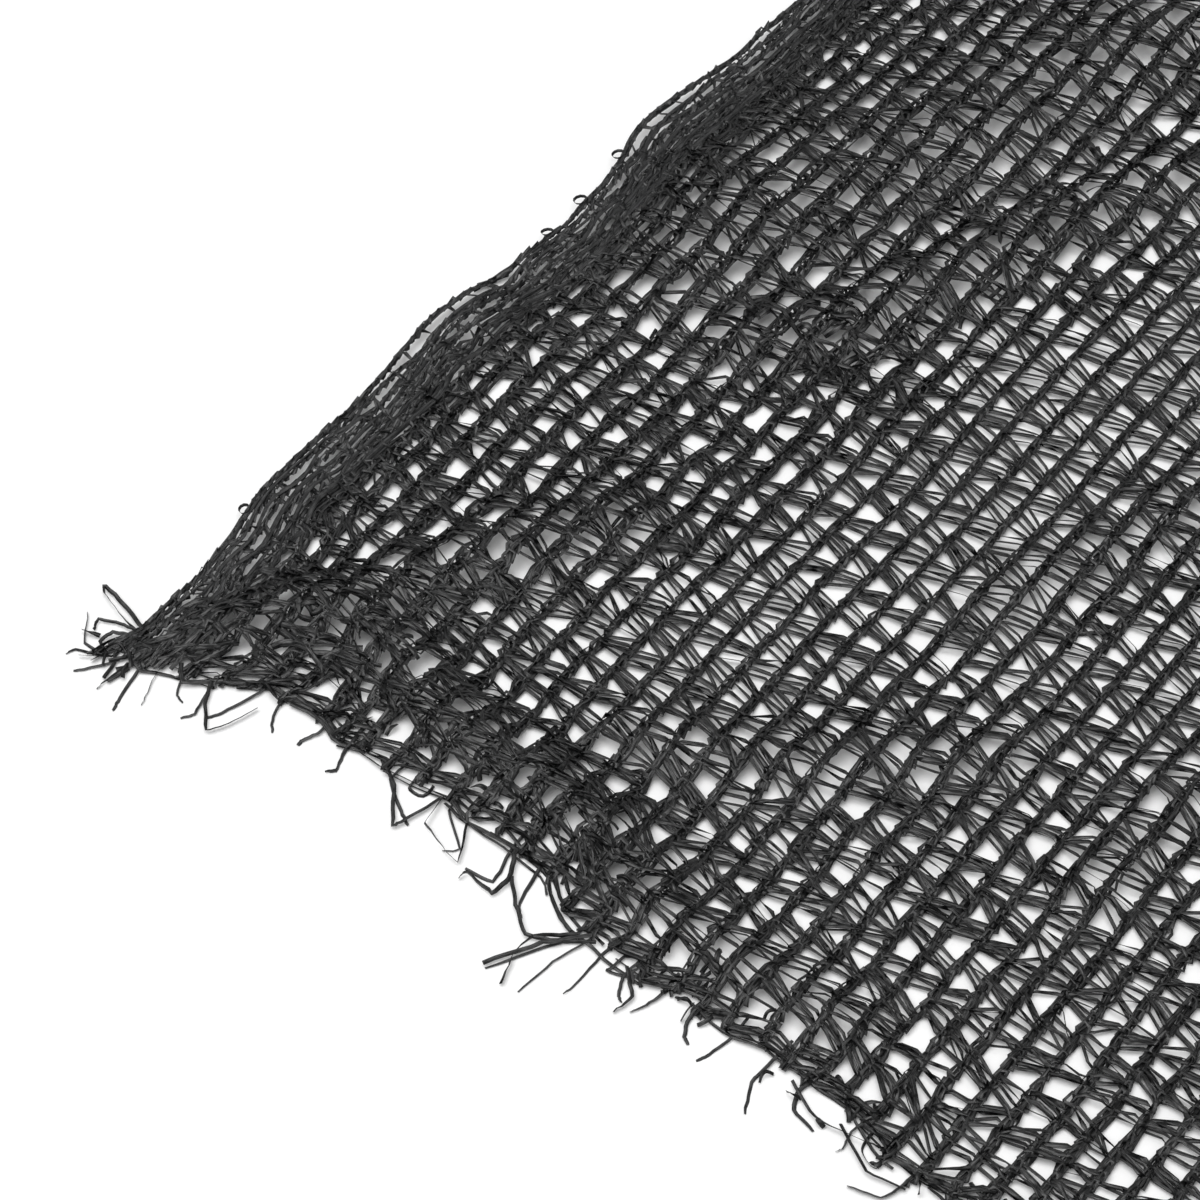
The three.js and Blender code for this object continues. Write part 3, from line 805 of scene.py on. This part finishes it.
def tape_material():
    """Black extruded tape with drawn streaks along it, a soft sheen whose duller rims are painted shade, and
    its own grey on each tape, which is painted fill light on the crowded selvedge and wales.
    """
    material = bpy.data.materials.get("Net tape")
    if material:
        return material
    settings = bpy.context.scene.net_settings
    material = bpy.data.materials.new("Net tape")
    material.use_nodes = True
    tree = material.node_tree
    surface = tree.nodes["Principled BSDF"].inputs
    node = partial(add_node, tree)

    def read(label):
        return node("ShaderNodeAttribute", "Fac", {}, attribute_name=label)

    def times(value, other):
        return node("ShaderNodeMath", "Value", {0: value, 1: other}, operation="MULTIPLY")

    def mixed(share, colour, other):
        return node("ShaderNodeMix", "Result", {"Factor": share, "A": colour, "B": other}, data_type="RGBA")

    def ramped(value, ramp, scale=1.0):
        ends = {"From Min": ramp.start, "From Max": ramp.end}
        ends.update({"To Min": ramp.low * scale, "To Max": ramp.high * scale})
        return node("ShaderNodeMapRange", "Result", {"Value": value, **ends})

    rim = read("rim")
    along = times(read("run"), STREAKS_ALONG)
    across = times(rim, STREAKS_ACROSS)
    place = node("ShaderNodeCombineXYZ", "Vector", {"X": along, "Y": across, "Z": read("shade")})
    streaks = node("ShaderNodeTexNoise", "Fac", {"Vector": place, **STREAK_NOISE})
    black = (*settings.tape_colour, 1)
    streak = (*settings.streak_colour, 1)
    # Each tape's grey mixes in the greyer colour: painted fill light on the selvedge and wales, a lighter
    # grey on loose ends
    painted_fill_rgba = (*settings.painted_fill_colour, 1)
    colour = mixed(read("grey"), mixed(ramped(streaks, STREAK_TONES), black, streak), painted_fill_rgba)
    # Painted shade: the sheen dulls towards each tape's rims, darkening its edges
    sheen = ramped(rim, RIM_PAINTED_SHADE, settings.sheen)
    surface["IOR"].default_value = TAPE_IOR
    link = tree.links.new
    link(colour, surface["Base Color"])
    link(ramped(streaks, STREAK_ROUGHNESS), surface["Roughness"])
    link(node("ShaderNodeBump", "Normal", {"Height": streaks, **STREAK_BUMP}), surface["Normal"])
    link(times(sheen, ramped(streaks, STREAK_FLECKS)), surface["Specular IOR Level"])
    return material


def add_wale(runs, wale, rng):
    """One wale: a chain of stitches from the cut edge to the far end."""
    start = rng.uniform(*WALE_STARTS)
    stitches = int((PANEL_LENGTH - start - WALE_END_STITCHES * STITCH_PITCH) / STITCH_PITCH)
    shape = (stitches, len(CHAIN_STITCH))
    stitch = StitchPoint(*np.array(CHAIN_STITCH, float).T)
    number = np.arange(stitches)[:, None]
    half_width = SELVEDGE_LOOP_HALF_WIDTH if wale < SELVEDGE_WALES else LOOP_HALF_WIDTH
    half_width = EDGE_LOOP_HALF_WIDTH if wale == 0 else half_width
    width = half_width * rng.uniform(*LOOP_WIDTH_RANGE, (stitches, 1))
    if wale >= SELVEDGE_WALES:
        middle = start + (number + 0.5) * STITCH_PITCH
        width = width * (1 + CROWDED_LOOP_SHARE * crowding(wale_places()[wale], middle))
    side = stitch.side * width + rng.normal(0, LOOP_SIDE_STRAY, shape)
    along = start + (number + stitch.forward + rng.normal(0, LOOP_FORWARD_STRAY, shape)) * STITCH_PITCH
    height = stitch.height * rng.uniform(*LOOP_HEIGHT_RANGE, shape)
    turn = np.radians(stitch.lean + rng.normal(0, LOOP_LEAN_STRAY, shape))
    breadth = stitch.breadth * rng.uniform(*LOOP_BREADTH_RANGE, shape)
    # Painted fill light: selvedge and wale stitches are mixed toward a lighter grey
    grey = SELVEDGE_PAINTED_FILL if wale < SELVEDGE_WALES else WALE_PAINTED_FILL
    runs.lay_tape(wale_across(wale, along) + side, along, height, turn, breadth, rng, grey)


def add_stroke_tape(runs, wale, layer, bundles, offset, kept, rng):
    """One laid-in tape: it crosses to the next wale and back again, with a rest along each wale."""
    middle, _, fan, crowd = bundles
    strokes = len(middle)
    shape = (strokes, len(STROKE))
    leads_over = np.arange(strokes) % 2 == 0
    gap = wale_places()[wale + 1] - wale_places()[wale]
    stray = STROKE_UNEVEN * (1 + CROWDED_UNEVEN * crowd)
    rise = STROKE_RISE * gap / WALE_PITCH * rng.uniform(*RISE_RANGE, strokes)
    rise = rise * (1 - CROWDED_RISE_LOSS * crowd * rng.random(strokes))
    begin = middle + offset * (1 + fan) - rise / 2 + stray * rng.normal(0, 1, strokes)
    end = middle + offset * (1 - fan) + rise / 2 + stray * rng.normal(0, 1, strokes)
    begin = np.clip(begin, 0, PANEL_LENGTH)
    end = np.minimum(end, PANEL_LENGTH)
    next_begin = np.append(begin[1:], end[-1])
    stroke = StrokePoint(*np.array(STROKE, float).T)
    flat = stroke.flat
    share = np.where(leads_over[:, None], stroke.share, 1 - stroke.share)
    along = begin[:, None] + (end - begin)[:, None] * stroke.advance
    along = along + flat * (STROKE_WAVE + CROWDED_STROKE_WAVE * crowd)[:, None] * rng.normal(0, 1, shape)
    share = share + flat * (CROWDED_SHARE_WAVE * crowd)[:, None] * rng.normal(0, 1, shape)
    slack = np.abs(rng.normal(0, STROKE_SLACK, strokes))[:, None]
    height = stroke.height + LAYER_HEIGHT * layer + flat * slack
    turn_across = (1 + CROWDED_TURN * crowd) * rng.normal(0, STROKE_TURN, strokes)
    twist = (1 + CROWDED_TURN * crowd) * rng.normal(0, STROKE_TURN, strokes)
    turn = turn_across[:, None] * flat + FOLDED_TURN * (1 - flat) + twist[:, None] * (stroke.share - 0.5) * 2
    narrowed = (1 - CROWDED_NARROWING * crowd)[:, None]
    breadth = stroke.breadth * rng.uniform(*STROKE_BREADTH, (strokes, 1)) * narrowed

    def with_rest(values, rest):
        return np.column_stack([values, np.broadcast_to(rest, strokes)])

    along = with_rest(along, (end + next_begin) / 2)
    across = from_wale_to_next(wale, along, with_rest(share, leads_over))
    height = with_rest(height, REST_HEIGHT)
    turn = with_rest(turn, FOLDED_TURN)
    breadth = with_rest(breadth, REST_BREADTH)
    grey = SELVEDGE_PAINTED_FILL if wale < SELVEDGE_WALES else 0.0
    runs.lay_kept(kept, across, along, height, turn, breadth, rng=rng, grey=grey)


def add_wale_tapes(runs, wale, rng):
    """Tapes lying along a wale at its sides, between places where they go under its stitches."""
    along = np.arange(rng.uniform(-1, 2), PANEL_LENGTH - 2, WALE_TAPE_STEP)
    crowd = crowding(wale_places()[wale], along)
    reach = between(WALE_TAPE_SIDE, WALE_TAPE_CROWDED_SIDE, crowd)
    for number, crowded_from in enumerate(WALE_TAPES_CROWDED_FROM):
        kept = crowd + WALE_TAPE_CHANCE * rng.uniform(-1, 1, len(along)) > crowded_from
        sway, rise, turn = wandering(WALE_TAPE_WANDERS, along, wale, number)
        across = wale_across(wale, along) + reach * np.clip(sway, -1, 1)
        height = WALE_TAPE_HEIGHT + rise
        breadth = rng.uniform(*WALE_TAPE_BREADTH, len(along))
        runs.lay_kept(kept, across, along, height, turn, breadth, rng=rng)


def stroke_bundles(wale):
    """Bundles of tapes from a wale to the next: where they are, how they spread and fan, how crowded."""
    rng = np.random.default_rng(BUNDLE_SEED + wale)
    middle = np.arange(FIRST_BUNDLE, PANEL_LENGTH - LAST_BUNDLE, STROKE_PITCH)
    across = wale_places()[wale] + WALE_PITCH / 2
    crowd = crowding(across, middle)
    shift = between(BUNDLE_SHIFT, CROWDED_BUNDLE_SHIFT, crowd)
    spread = 1 + STROKE_SPREAD * unevenness(across, middle, STROKE_SPREAD_CELL, SPREAD_SEED)
    spread = spread * (1 - CLUMPING * crowd * rng.uniform(*CLUMPING_RANGE, len(middle)))
    fan = between(FANNING, CROWDED_FANNING, crowd) * rng.uniform(-1, 1, len(middle))
    return Bundles(middle + shift * rng.normal(0, 1, len(middle)), spread, fan, crowd)


def add_strokes(runs, wale, tapes, rng):
    """The even set of tapes laid in between a wale and the next."""
    bundles = stroke_bundles(wale)
    if wale_places()[wale + 1] - wale_places()[wale] < NARROW_GAP:
        tapes = min(tapes, NARROW_GAP_TAPES)
    if wale == 0:
        tapes = EDGE_RUNGS
    for tape in range(tapes):
        offset = (tape - (tapes - 1) / 2) * STROKE_SPACING * bundles.spread
        add_stroke_tape(runs, wale, tape, bundles, offset, np.ones(len(offset), bool), rng)


def add_extra_strokes(runs, wale, rng):
    """More tapes between a wale and the next in crowded places."""
    bundles = stroke_bundles(wale)
    strokes = len(bundles.middle)
    for layer, extra in enumerate(EXTRA_TAPES, EXTRA_TAPE_LAYER):
        kept = bundles.crowd + EXTRA_TAPE_CHANCE * rng.uniform(-1, 1, strokes) > extra.crowded_from
        offset = extra.scatter * rng.uniform(-1, 1, strokes)
        add_stroke_tape(runs, wale, layer, bundles, offset, kept, rng)


def smooth_way(controls, count):
    """Points on a smooth curve that passes through its control points."""
    controls = np.asarray(controls, float)
    padded = np.vstack([2 * controls[0] - controls[1], controls, 2 * controls[-1] - controls[-2]])
    at = np.linspace(0, len(controls) - 1, count)
    first = np.minimum(at.astype(int), len(controls) - 2)
    share = (at - first)[:, None]
    before, start, end, after = (padded[first + step] for step in range(4))
    return 0.5 * (
        2 * start
        + (end - before) * share
        + (2 * before - 5 * start + 4 * end - after) * share**2
        + (3 * start - before - 3 * end + after) * share**3
    )


def kinked_way(controls, count):
    """Points on a way between control points that bends sharply there, as a stiff tape does."""
    controls = np.asarray(controls, float)
    at = np.linspace(0, len(controls) - 1, count)
    kinked = np.stack([np.interp(at, np.arange(len(controls)), column) for column in controls.T], axis=1)
    return KINK_SHARE * kinked + (1 - KINK_SHARE) * smooth_way(controls, count)


def slow_twist(count, twist, rng):
    """Turns along a loose tape that grow evenly from a first turn."""
    return rng.normal(0, FIRST_TURN) + np.linspace(0, rng.normal(0, twist), count)


def one_breadth(wide_share, wide, narrow, rng):
    """A tape's breadth: from the wide range for a share of the tapes, else from the narrow one."""
    return rng.uniform(*(wide if rng.random() < wide_share else narrow))


def add_selvedge_tape(runs, tape, rng):
    """A tape along the selvedge, between its edge cord and its depth."""
    along = np.arange(rng.uniform(-2, 2), PANEL_LENGTH - 1, SELVEDGE_TAPE_STEP)
    along = along + rng.normal(0, SELVEDGE_TAPE_STRAY, len(along))
    home = SELVEDGE_START + (SELVEDGE_DEPTH - SELVEDGE_START) * (tape / (SELVEDGE_TAPES - 1)) ** 1.2
    sway, rise, turn = wandering(SELVEDGE_WANDERS, along, tape)
    across = np.maximum(home + sway, wale_across(1, along) - WALE_OVERLAP)
    height = SELVEDGE_TAPE_HEIGHT + rise
    runs.lay_tape(across, along, height, turn, rng.uniform(*SELVEDGE_TAPE_BREADTH), rng, SELVEDGE_PAINTED_FILL)


def add_cord_tape(runs, tape, rng):
    """A tape that fills the edge cord, winding about its stitches."""
    along = np.arange(rng.uniform(-2, 1), PANEL_LENGTH - 1, CORD_TAPE_STEP)
    sway, rise, turn = wandering(CORD_WANDERS, along, tape)
    across = wale_across(0, along) + sway
    height = CORD_TAPE_HEIGHT + rise
    runs.lay_tape(across, along, height, turn, rng.uniform(*CORD_TAPE_BREADTH), rng, SELVEDGE_PAINTED_FILL)


def add_selvedge_loop(runs, place, rng):
    """A small loop of tape standing out of the edge."""
    radius = SELVEDGE_LOOP_RADIUS * rng.uniform(0.8, 1.15)
    angle = np.linspace(-0.75, 1.75, SELVEDGE_LOOP_POINTS) * np.pi
    across = FIRST_WALE - 0.9 * radius - radius * np.sin(angle)
    along = place + radius * np.cos(angle)
    height = LOOSE_TAPE_HEIGHT + np.linspace(0, 0.9, SELVEDGE_LOOP_POINTS)
    runs.lay_tape(across, along, height, SELVEDGE_LOOP_TURN, SELVEDGE_LOOP_BREADTH, rng)


class SHADENET_OT_selvedge(Operator):
    """Lays the tapes that run along the selvedge, with its small loops"""

    bl_idname = "shadenet.selvedge"
    bl_label = "Selvedge tapes"

    def execute(self, context):
        rng = np.random.default_rng(SELVEDGE_SEED)
        runs = TapeRuns()
        for tape in range(SELVEDGE_TAPES):
            add_selvedge_tape(runs, tape, rng)
        for tape in range(EDGE_CORD_TAPES):
            add_cord_tape(runs, tape, rng)
        for place in SELVEDGE_LOOPS_AT:
            add_selvedge_loop(runs, place, rng)
        tape_piece("selvedge_tapes", runs)
        return {"FINISHED"}


def add_slack_loop(runs, slack, rng):
    """A tape that leaves the knit, rises in an arch and goes back into it."""
    reach = math.sqrt(rng.random())
    around = rng.uniform(0, 2 * math.pi)
    across = max(slack.across + slack.across_reach * reach * math.cos(around), SLACK_MARGIN)
    along = slack.along + slack.along_reach * reach * math.sin(around)
    along = min(along, PANEL_LENGTH - slack.length)
    length = slack.length * rng.uniform(0.6, 1.4)
    heading = math.radians(rng.normal(slack.heading, slack.spread))
    share = np.linspace(-0.5, 0.5, SLACK_POINTS)
    arch = np.cos(np.pi * share)
    bend = rng.normal(0, SLACK_BEND) * arch
    way_across = across + length * share * math.cos(heading) - bend * math.sin(heading)
    way_along = along + length * share * math.sin(heading) + bend * math.cos(heading)
    way_across = np.maximum(way_across, wale_across(1, way_along) - WALE_OVERLAP)
    height = SLACK_HEIGHT + (SLACK_RISE + slack.rise * rng.uniform(0.2, 1.0)) * arch
    turn = rng.uniform(-0.8, 0.8) + rng.normal(0, 0.8) * share
    runs.lay_tape(way_across, way_along, height, turn, slack.breadth * rng.uniform(0.7, 1.15), rng)


class SHADENET_OT_slack_loops(Operator):
    """Raises the small slack loops of tape in the bunched places"""

    bl_idname = "shadenet.slack_loops"
    bl_label = "Slack loops"

    def execute(self, context):
        rng = np.random.default_rng(SLACK_SEED)
        runs = TapeRuns()
        for slack in SLACKS:
            for _ in range(slack.loops):
                add_slack_loop(runs, slack, rng)
        tape_piece("slack_loops", runs)
        return {"FINISHED"}


def add_stray(runs, wale, place, rng):
    """A short tape that slants to the next wale or lies along its own, with its ends tucked under."""
    share = np.linspace(-0.1, 1.1, STRAY_POINTS)
    arch = np.sin(np.pi * np.clip(share, 0, 1))
    if rng.random() < STRAYS_ACROSS:
        along = place + rng.normal(0, STRAY_SHIFT) + rng.normal(0, STRAY_SLANT) * (share - 0.5)
        along = along + rng.normal(0, STRAY_BEND_ACROSS) * arch
        across = from_wale_to_next(wale, along, share)
    else:
        along = place + STROKE_PITCH * (rng.uniform(-1, 0) + share)
        across = wale_across(wale, along) + rng.normal(0, STRAY_BEND_ALONG) * arch
    height = STRAY_HEIGHT + rng.uniform(*STRAY_ARCH) * arch
    turn = rng.normal(0, 0.5) + rng.normal(0, 0.6) * share
    breadth = one_breadth(WIDE_STRAYS, WIDE_STRAY_BREADTH, STRAY_BREADTH, rng)
    runs.lay_tape(across, np.clip(along, 0.5, PANEL_LENGTH - 1), height, turn, breadth, rng)


class SHADENET_OT_stray_tapes(Operator):
    """Lays short stray tapes at odd angles over the crowded places"""

    bl_idname = "shadenet.stray_tapes"
    bl_label = "Stray tapes"

    def execute(self, context):
        rng = np.random.default_rng(STRAY_SEED)
        runs = TapeRuns()
        for wale in range(SELVEDGE_WALES - 1, len(wale_places()) - 1):
            bundles = stroke_bundles(wale)
            strays = rng.poisson(STRAYS_TO_A_BUNDLE * np.maximum(bundles.crowd**1.5, STRAYS_IN_OPEN_NET))
            for place in np.repeat(bundles.middle, strays):
                add_stray(runs, wale, place, rng)
        tape_piece("stray_tapes", runs)
        return {"FINISHED"}


def add_strand(runs, strand, rng):
    """A long loose end on the way of its solid, with a little curl of its own."""
    inner_height, root_height, knee_height, tip_height = STRAND_HEIGHTS
    inner = lay(strand.root, STRAND_INNER_END, inner_height)[0] / MM
    root = lay(strand.root, -STRAND_ROOT, root_height)[0] / MM
    knee = np.array([root[0] + strand.drift, root[1] - strand.out, knee_height])
    tip = np.array([knee[0] + strand.bend_drift, knee[1] - strand.bend_out, tip_height])
    way = kinked_way([inner, root, knee, tip], STRAND_POINTS)
    way[:, :2] += rng.normal(0, STRAND_STRAY, (STRAND_POINTS, 2))
    way[:, 2] = np.maximum(way[:, 2], LOWEST_WAY)
    turn = slow_twist(STRAND_POINTS, 0.8, rng)
    breadth = one_breadth(WIDE_ENDS, WIDE_END_BREADTH, STRAND_BREADTH, rng)
    runs.add(way * MM, UP, turn, breadth * POINTED_END, rng, LOOSE_END_GREY)


def add_end(runs, root, start, length, heading, rng):
    """A short cut end of a tape with a slight curl, from its root outwards."""
    share = np.linspace(0, 1, SHORT_END_POINTS)
    curl = rng.normal(0, SHORT_END_CURL) * share**2
    across = root + length * share * math.cos(heading) + curl
    along = start + length * share * math.sin(heading)
    height = LOOSE_TAPE_HEIGHT + rng.uniform(-0.4, 1.2) * np.sin(np.pi * share * 0.8)
    height = np.maximum(height, LOWEST_WAY)
    turn = rng.uniform(-1, 1) + rng.normal(0, 1) * share
    runs.lay_tape(across, along, height, turn, rng.uniform(*SHORT_END_BREADTH), rng)


def add_loose_loop(runs, places, rng):
    """A tape that has come out of the edge, through places on the surface the net lies on."""
    heights = np.linspace(1.2, 0.8, len(places)) + rng.uniform(0, 0.8, len(places))
    controls = np.column_stack([np.array(places, float), heights])
    count = 5 * len(places) - 4
    way = kinked_way(controls, count) + CLOTH_ORIGIN
    way[1:-1, :2] += rng.normal(0, LOOSE_LOOP_STRAY, (count - 2, 2))
    turn = slow_twist(count, 1.0, rng)
    runs.add(way * MM, UP, turn, rng.uniform(*LOOSE_LOOP_BREADTH), rng)


def add_open_loop(runs, root, rng):
    """A loop of tape that has come out of its stitch and lies out from the cut edge."""
    out = rng.uniform(*OPEN_LOOP_REACH)
    width = rng.uniform(*OPEN_LOOP_WIDTH)
    lean = rng.uniform(*OPEN_LOOP_LEAN)
    controls = [
        [root, 4.0, 1.0],
        [root + 0.3 * lean, -0.5 * out, 0.8],
        [root + lean, -out, 0.5],
        [root + 0.6 * width + lean, -rng.uniform(0.5, 1.0) * out, 0.5],
        [root + width, 2.0, 1.0],
    ]
    way = smooth_way(controls, OPEN_LOOP_POINTS)
    turn = slow_twist(OPEN_LOOP_POINTS, 0.8, rng)
    runs.lay_tape(*way.T, turn, rng.uniform(*OPEN_LOOP_BREADTH), rng)


def add_cut_edge_tape(runs, tape, rng):
    """A tape pulled out along the cut edge."""
    start = tape * PANEL_WIDTH / CUT_EDGE_TAPES
    end = min(start + rng.uniform(*CUT_EDGE_TAPE_LENGTH), PANEL_WIDTH - 2)
    across = np.arange(start + 2, end, CUT_EDGE_TAPE_STEP)
    home = rng.uniform(-1.5, 3)
    sway, rise, turn = wandering(CUT_EDGE_WANDERS, across, tape, lies_across=True)
    breadth = rng.uniform(*CUT_EDGE_TAPE_BREADTH)
    runs.lay_tape(across, home + sway, LOOSE_TAPE_HEIGHT + rise, turn, breadth, rng)


class SHADENET_OT_frayed_ends(Operator):
    """Frays the cut edge into loose tape ends, in place of the frayed edge's solid"""

    bl_idname = "shadenet.frayed_ends"
    bl_label = "Frayed ends"

    def execute(self, context):
        rng = np.random.default_rng(FRAYED_SEED)
        runs = TapeRuns()
        for strand in STRANDS:
            add_strand(runs, strand, rng)
        for place in wale_places()[::WALES_TO_A_SHORT_END]:
            root = place + rng.normal(0, SHORT_END_STRAY)
            length = rng.uniform(*SHORT_END_LENGTH)
            add_end(runs, root, SHORT_END_START, length, rng.normal(-math.pi / 2, 0.7), rng)
        for root in OPEN_LOOPS_AT:
            add_open_loop(runs, root + rng.uniform(*OPEN_LOOP_SHIFT), rng)
        for places in LOOSE_LOOPS:
            add_loose_loop(runs, places, rng)
        for _ in range(CORNER_ENDS):
            root = rng.uniform(*CORNER_END_ROOTS)
            start = rng.uniform(*CORNER_END_STARTS)
            length = rng.uniform(*CORNER_END_LENGTH)
            add_end(runs, root, start, length, rng.normal(-1.7, 0.8), rng)
        for tape in range(CUT_EDGE_TAPES):
            add_cut_edge_tape(runs, tape, rng)
        piece = tape_piece("frayed_ends", runs)
        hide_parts("frayed_edge")
        return {"FINISHED"}


class SHADENET_OT_crowded_tapes(Operator):
    """Adds the tapes along the wales and the extra laid-in tapes of crowded places"""

    bl_idname = "shadenet.crowded_tapes"
    bl_label = "Crowded tapes"

    def execute(self, context):
        rng = np.random.default_rng(CROWDED_SEED)
        along_wales = TapeRuns()
        across_gaps = TapeRuns()
        wales = len(wale_places())
        for wale in range(SELVEDGE_WALES - 1, wales):
            add_wale_tapes(along_wales, wale, rng)
        for wale in range(SELVEDGE_WALES, wales - 1):
            add_extra_strokes(across_gaps, wale, rng)
        tape_piece("tapes_along_wales", along_wales)
        tape_piece("extra_laid_in_tapes", across_gaps)
        return {"FINISHED"}


class SHADENET_OT_knit(Operator):
    """Knits the net in bands of wales with the tapes laid in between them, in place of its solid"""

    bl_idname = "shadenet.knit"
    bl_label = "Knitted net"

    def execute(self, context):
        settings = context.scene.net_settings
        wales = len(wale_places())
        edges = np.linspace(0, wales, BANDS + 1).astype(int)
        for band in range(BANDS):
            rng = np.random.default_rng(BAND_SEED + band)
            runs = TapeRuns()
            for wale in range(edges[band], edges[band + 1]):
                add_wale(runs, wale, rng)
                if wale + 1 < wales:
                    add_strokes(runs, wale, settings.tapes_to_a_stroke, rng)
            piece = tape_piece(f"net_band_{band + 1}", runs)
            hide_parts("net")
        return {"FINISHED"}


def add_floor(settings):
    """A square floor at height 0."""
    half = settings.floor_size / 2
    corners = [(-half, -half, 0), (half, -half, 0), (half, half, 0), (-half, half, 0)]
    mesh = bpy.data.meshes.new("floor")
    mesh.from_pydata(corners, [], [(0, 1, 2, 3)])
    material = bpy.data.materials.new("Pale floor")
    material.use_nodes = True
    surface = material.node_tree.nodes["Principled BSDF"].inputs
    surface["Base Color"].default_value = (*settings.floor_colour, 1)
    surface["Roughness"].default_value = FLOOR_ROUGHNESS
    surface["Specular IOR Level"].default_value = FLOOR_SHEEN
    mesh.materials.append(material)
    floor = new_object("floor", mesh)


def add_light(context, settings):
    """Even light from all round, and a large softbox that faces the net."""
    world = bpy.data.worlds.new("Even light")
    world.use_nodes = True
    background = world.node_tree.nodes["Background"].inputs
    background["Color"].default_value = (1, 1, 1, 1)
    background["Strength"].default_value = settings.sky_strength
    context.scene.world = world
    light = bpy.data.lights.new("Softbox", "AREA")
    light.shape = "DISK"
    light.size = SOFTBOX_SIZE
    light.energy = settings.softbox_power
    softbox = new_object("Softbox", light)
    softbox.location = SOFTBOX_PLACE
    softbox.rotation_euler = Vector(SOFTBOX_PLACE).to_track_quat("Z", "Y").to_euler()
    context.scene.view_settings.view_transform = "Standard"


def add_camera(context):
    """A camera at the photograph's angle."""
    target = Vector((CLOTH_ORIGIN + np.array([VIEW_ACROSS, VIEW_ALONG, 0])) * MM)
    level = math.cos(VIEW_ELEVATION)
    across, along = math.sin(VIEW_AZIMUTH) * level, -math.cos(VIEW_AZIMUTH) * level
    back = Vector((across, along, math.sin(VIEW_ELEVATION)))
    lens = bpy.data.cameras.new("View")
    lens.lens = VIEW_LENS
    camera = new_object("View", lens)
    camera.location = target + back * VIEW_DISTANCE * MM
    camera.rotation_euler = back.to_track_quat("Z", "Y").to_euler()
    context.scene.camera = camera


class SHADENET_OT_stage(Operator):
    """Sets the pale floor, the soft light and the photograph's view"""

    bl_idname = "shadenet.stage"
    bl_label = "Floor, light and view"

    def execute(self, context):
        settings = context.scene.stage_settings
        add_floor(settings)
        add_light(context, settings)
        add_camera(context)
        return {"FINISHED"}


OPERATORS = [
    SHADENET_OT_stage,
    SHADENET_OT_selvedge,
    SHADENET_OT_slack_loops,
    SHADENET_OT_stray_tapes,
    SHADENET_OT_frayed_ends,
    SHADENET_OT_crowded_tapes,
    SHADENET_OT_knit,
]


class SHADENET_PT_panel(Panel):
    """Lists the steps that make the shade net"""

    bl_idname = "SHADENET_PT_panel"
    bl_label = "Shade net"
    bl_space_type = "VIEW_3D"
    bl_region_type = "UI"
    bl_category = "Shade net"

    def draw(self, context):
        for operator in OPERATORS:
            self.layout.operator(operator.bl_idname)


CLASSES = [NetSettings, StageSettings, *OPERATORS, SHADENET_PT_panel]


def register():
    for cls in CLASSES:
        bpy.utils.register_class(cls)
    bpy.types.Scene.net_settings = PointerProperty(type=NetSettings)
    bpy.types.Scene.stage_settings = PointerProperty(type=StageSettings)


def unregister():
    del bpy.types.Scene.stage_settings
    del bpy.types.Scene.net_settings
    for cls in reversed(CLASSES):
        bpy.utils.unregister_class(cls)


def main():
    register()
    bpy.ops.shadenet.stage()
    bpy.ops.shadenet.selvedge()
    bpy.ops.shadenet.slack_loops()
    bpy.ops.shadenet.stray_tapes()
    bpy.ops.shadenet.frayed_ends()
    bpy.ops.shadenet.crowded_tapes()
    bpy.ops.shadenet.knit()


if __name__ == "__main__":
    main()
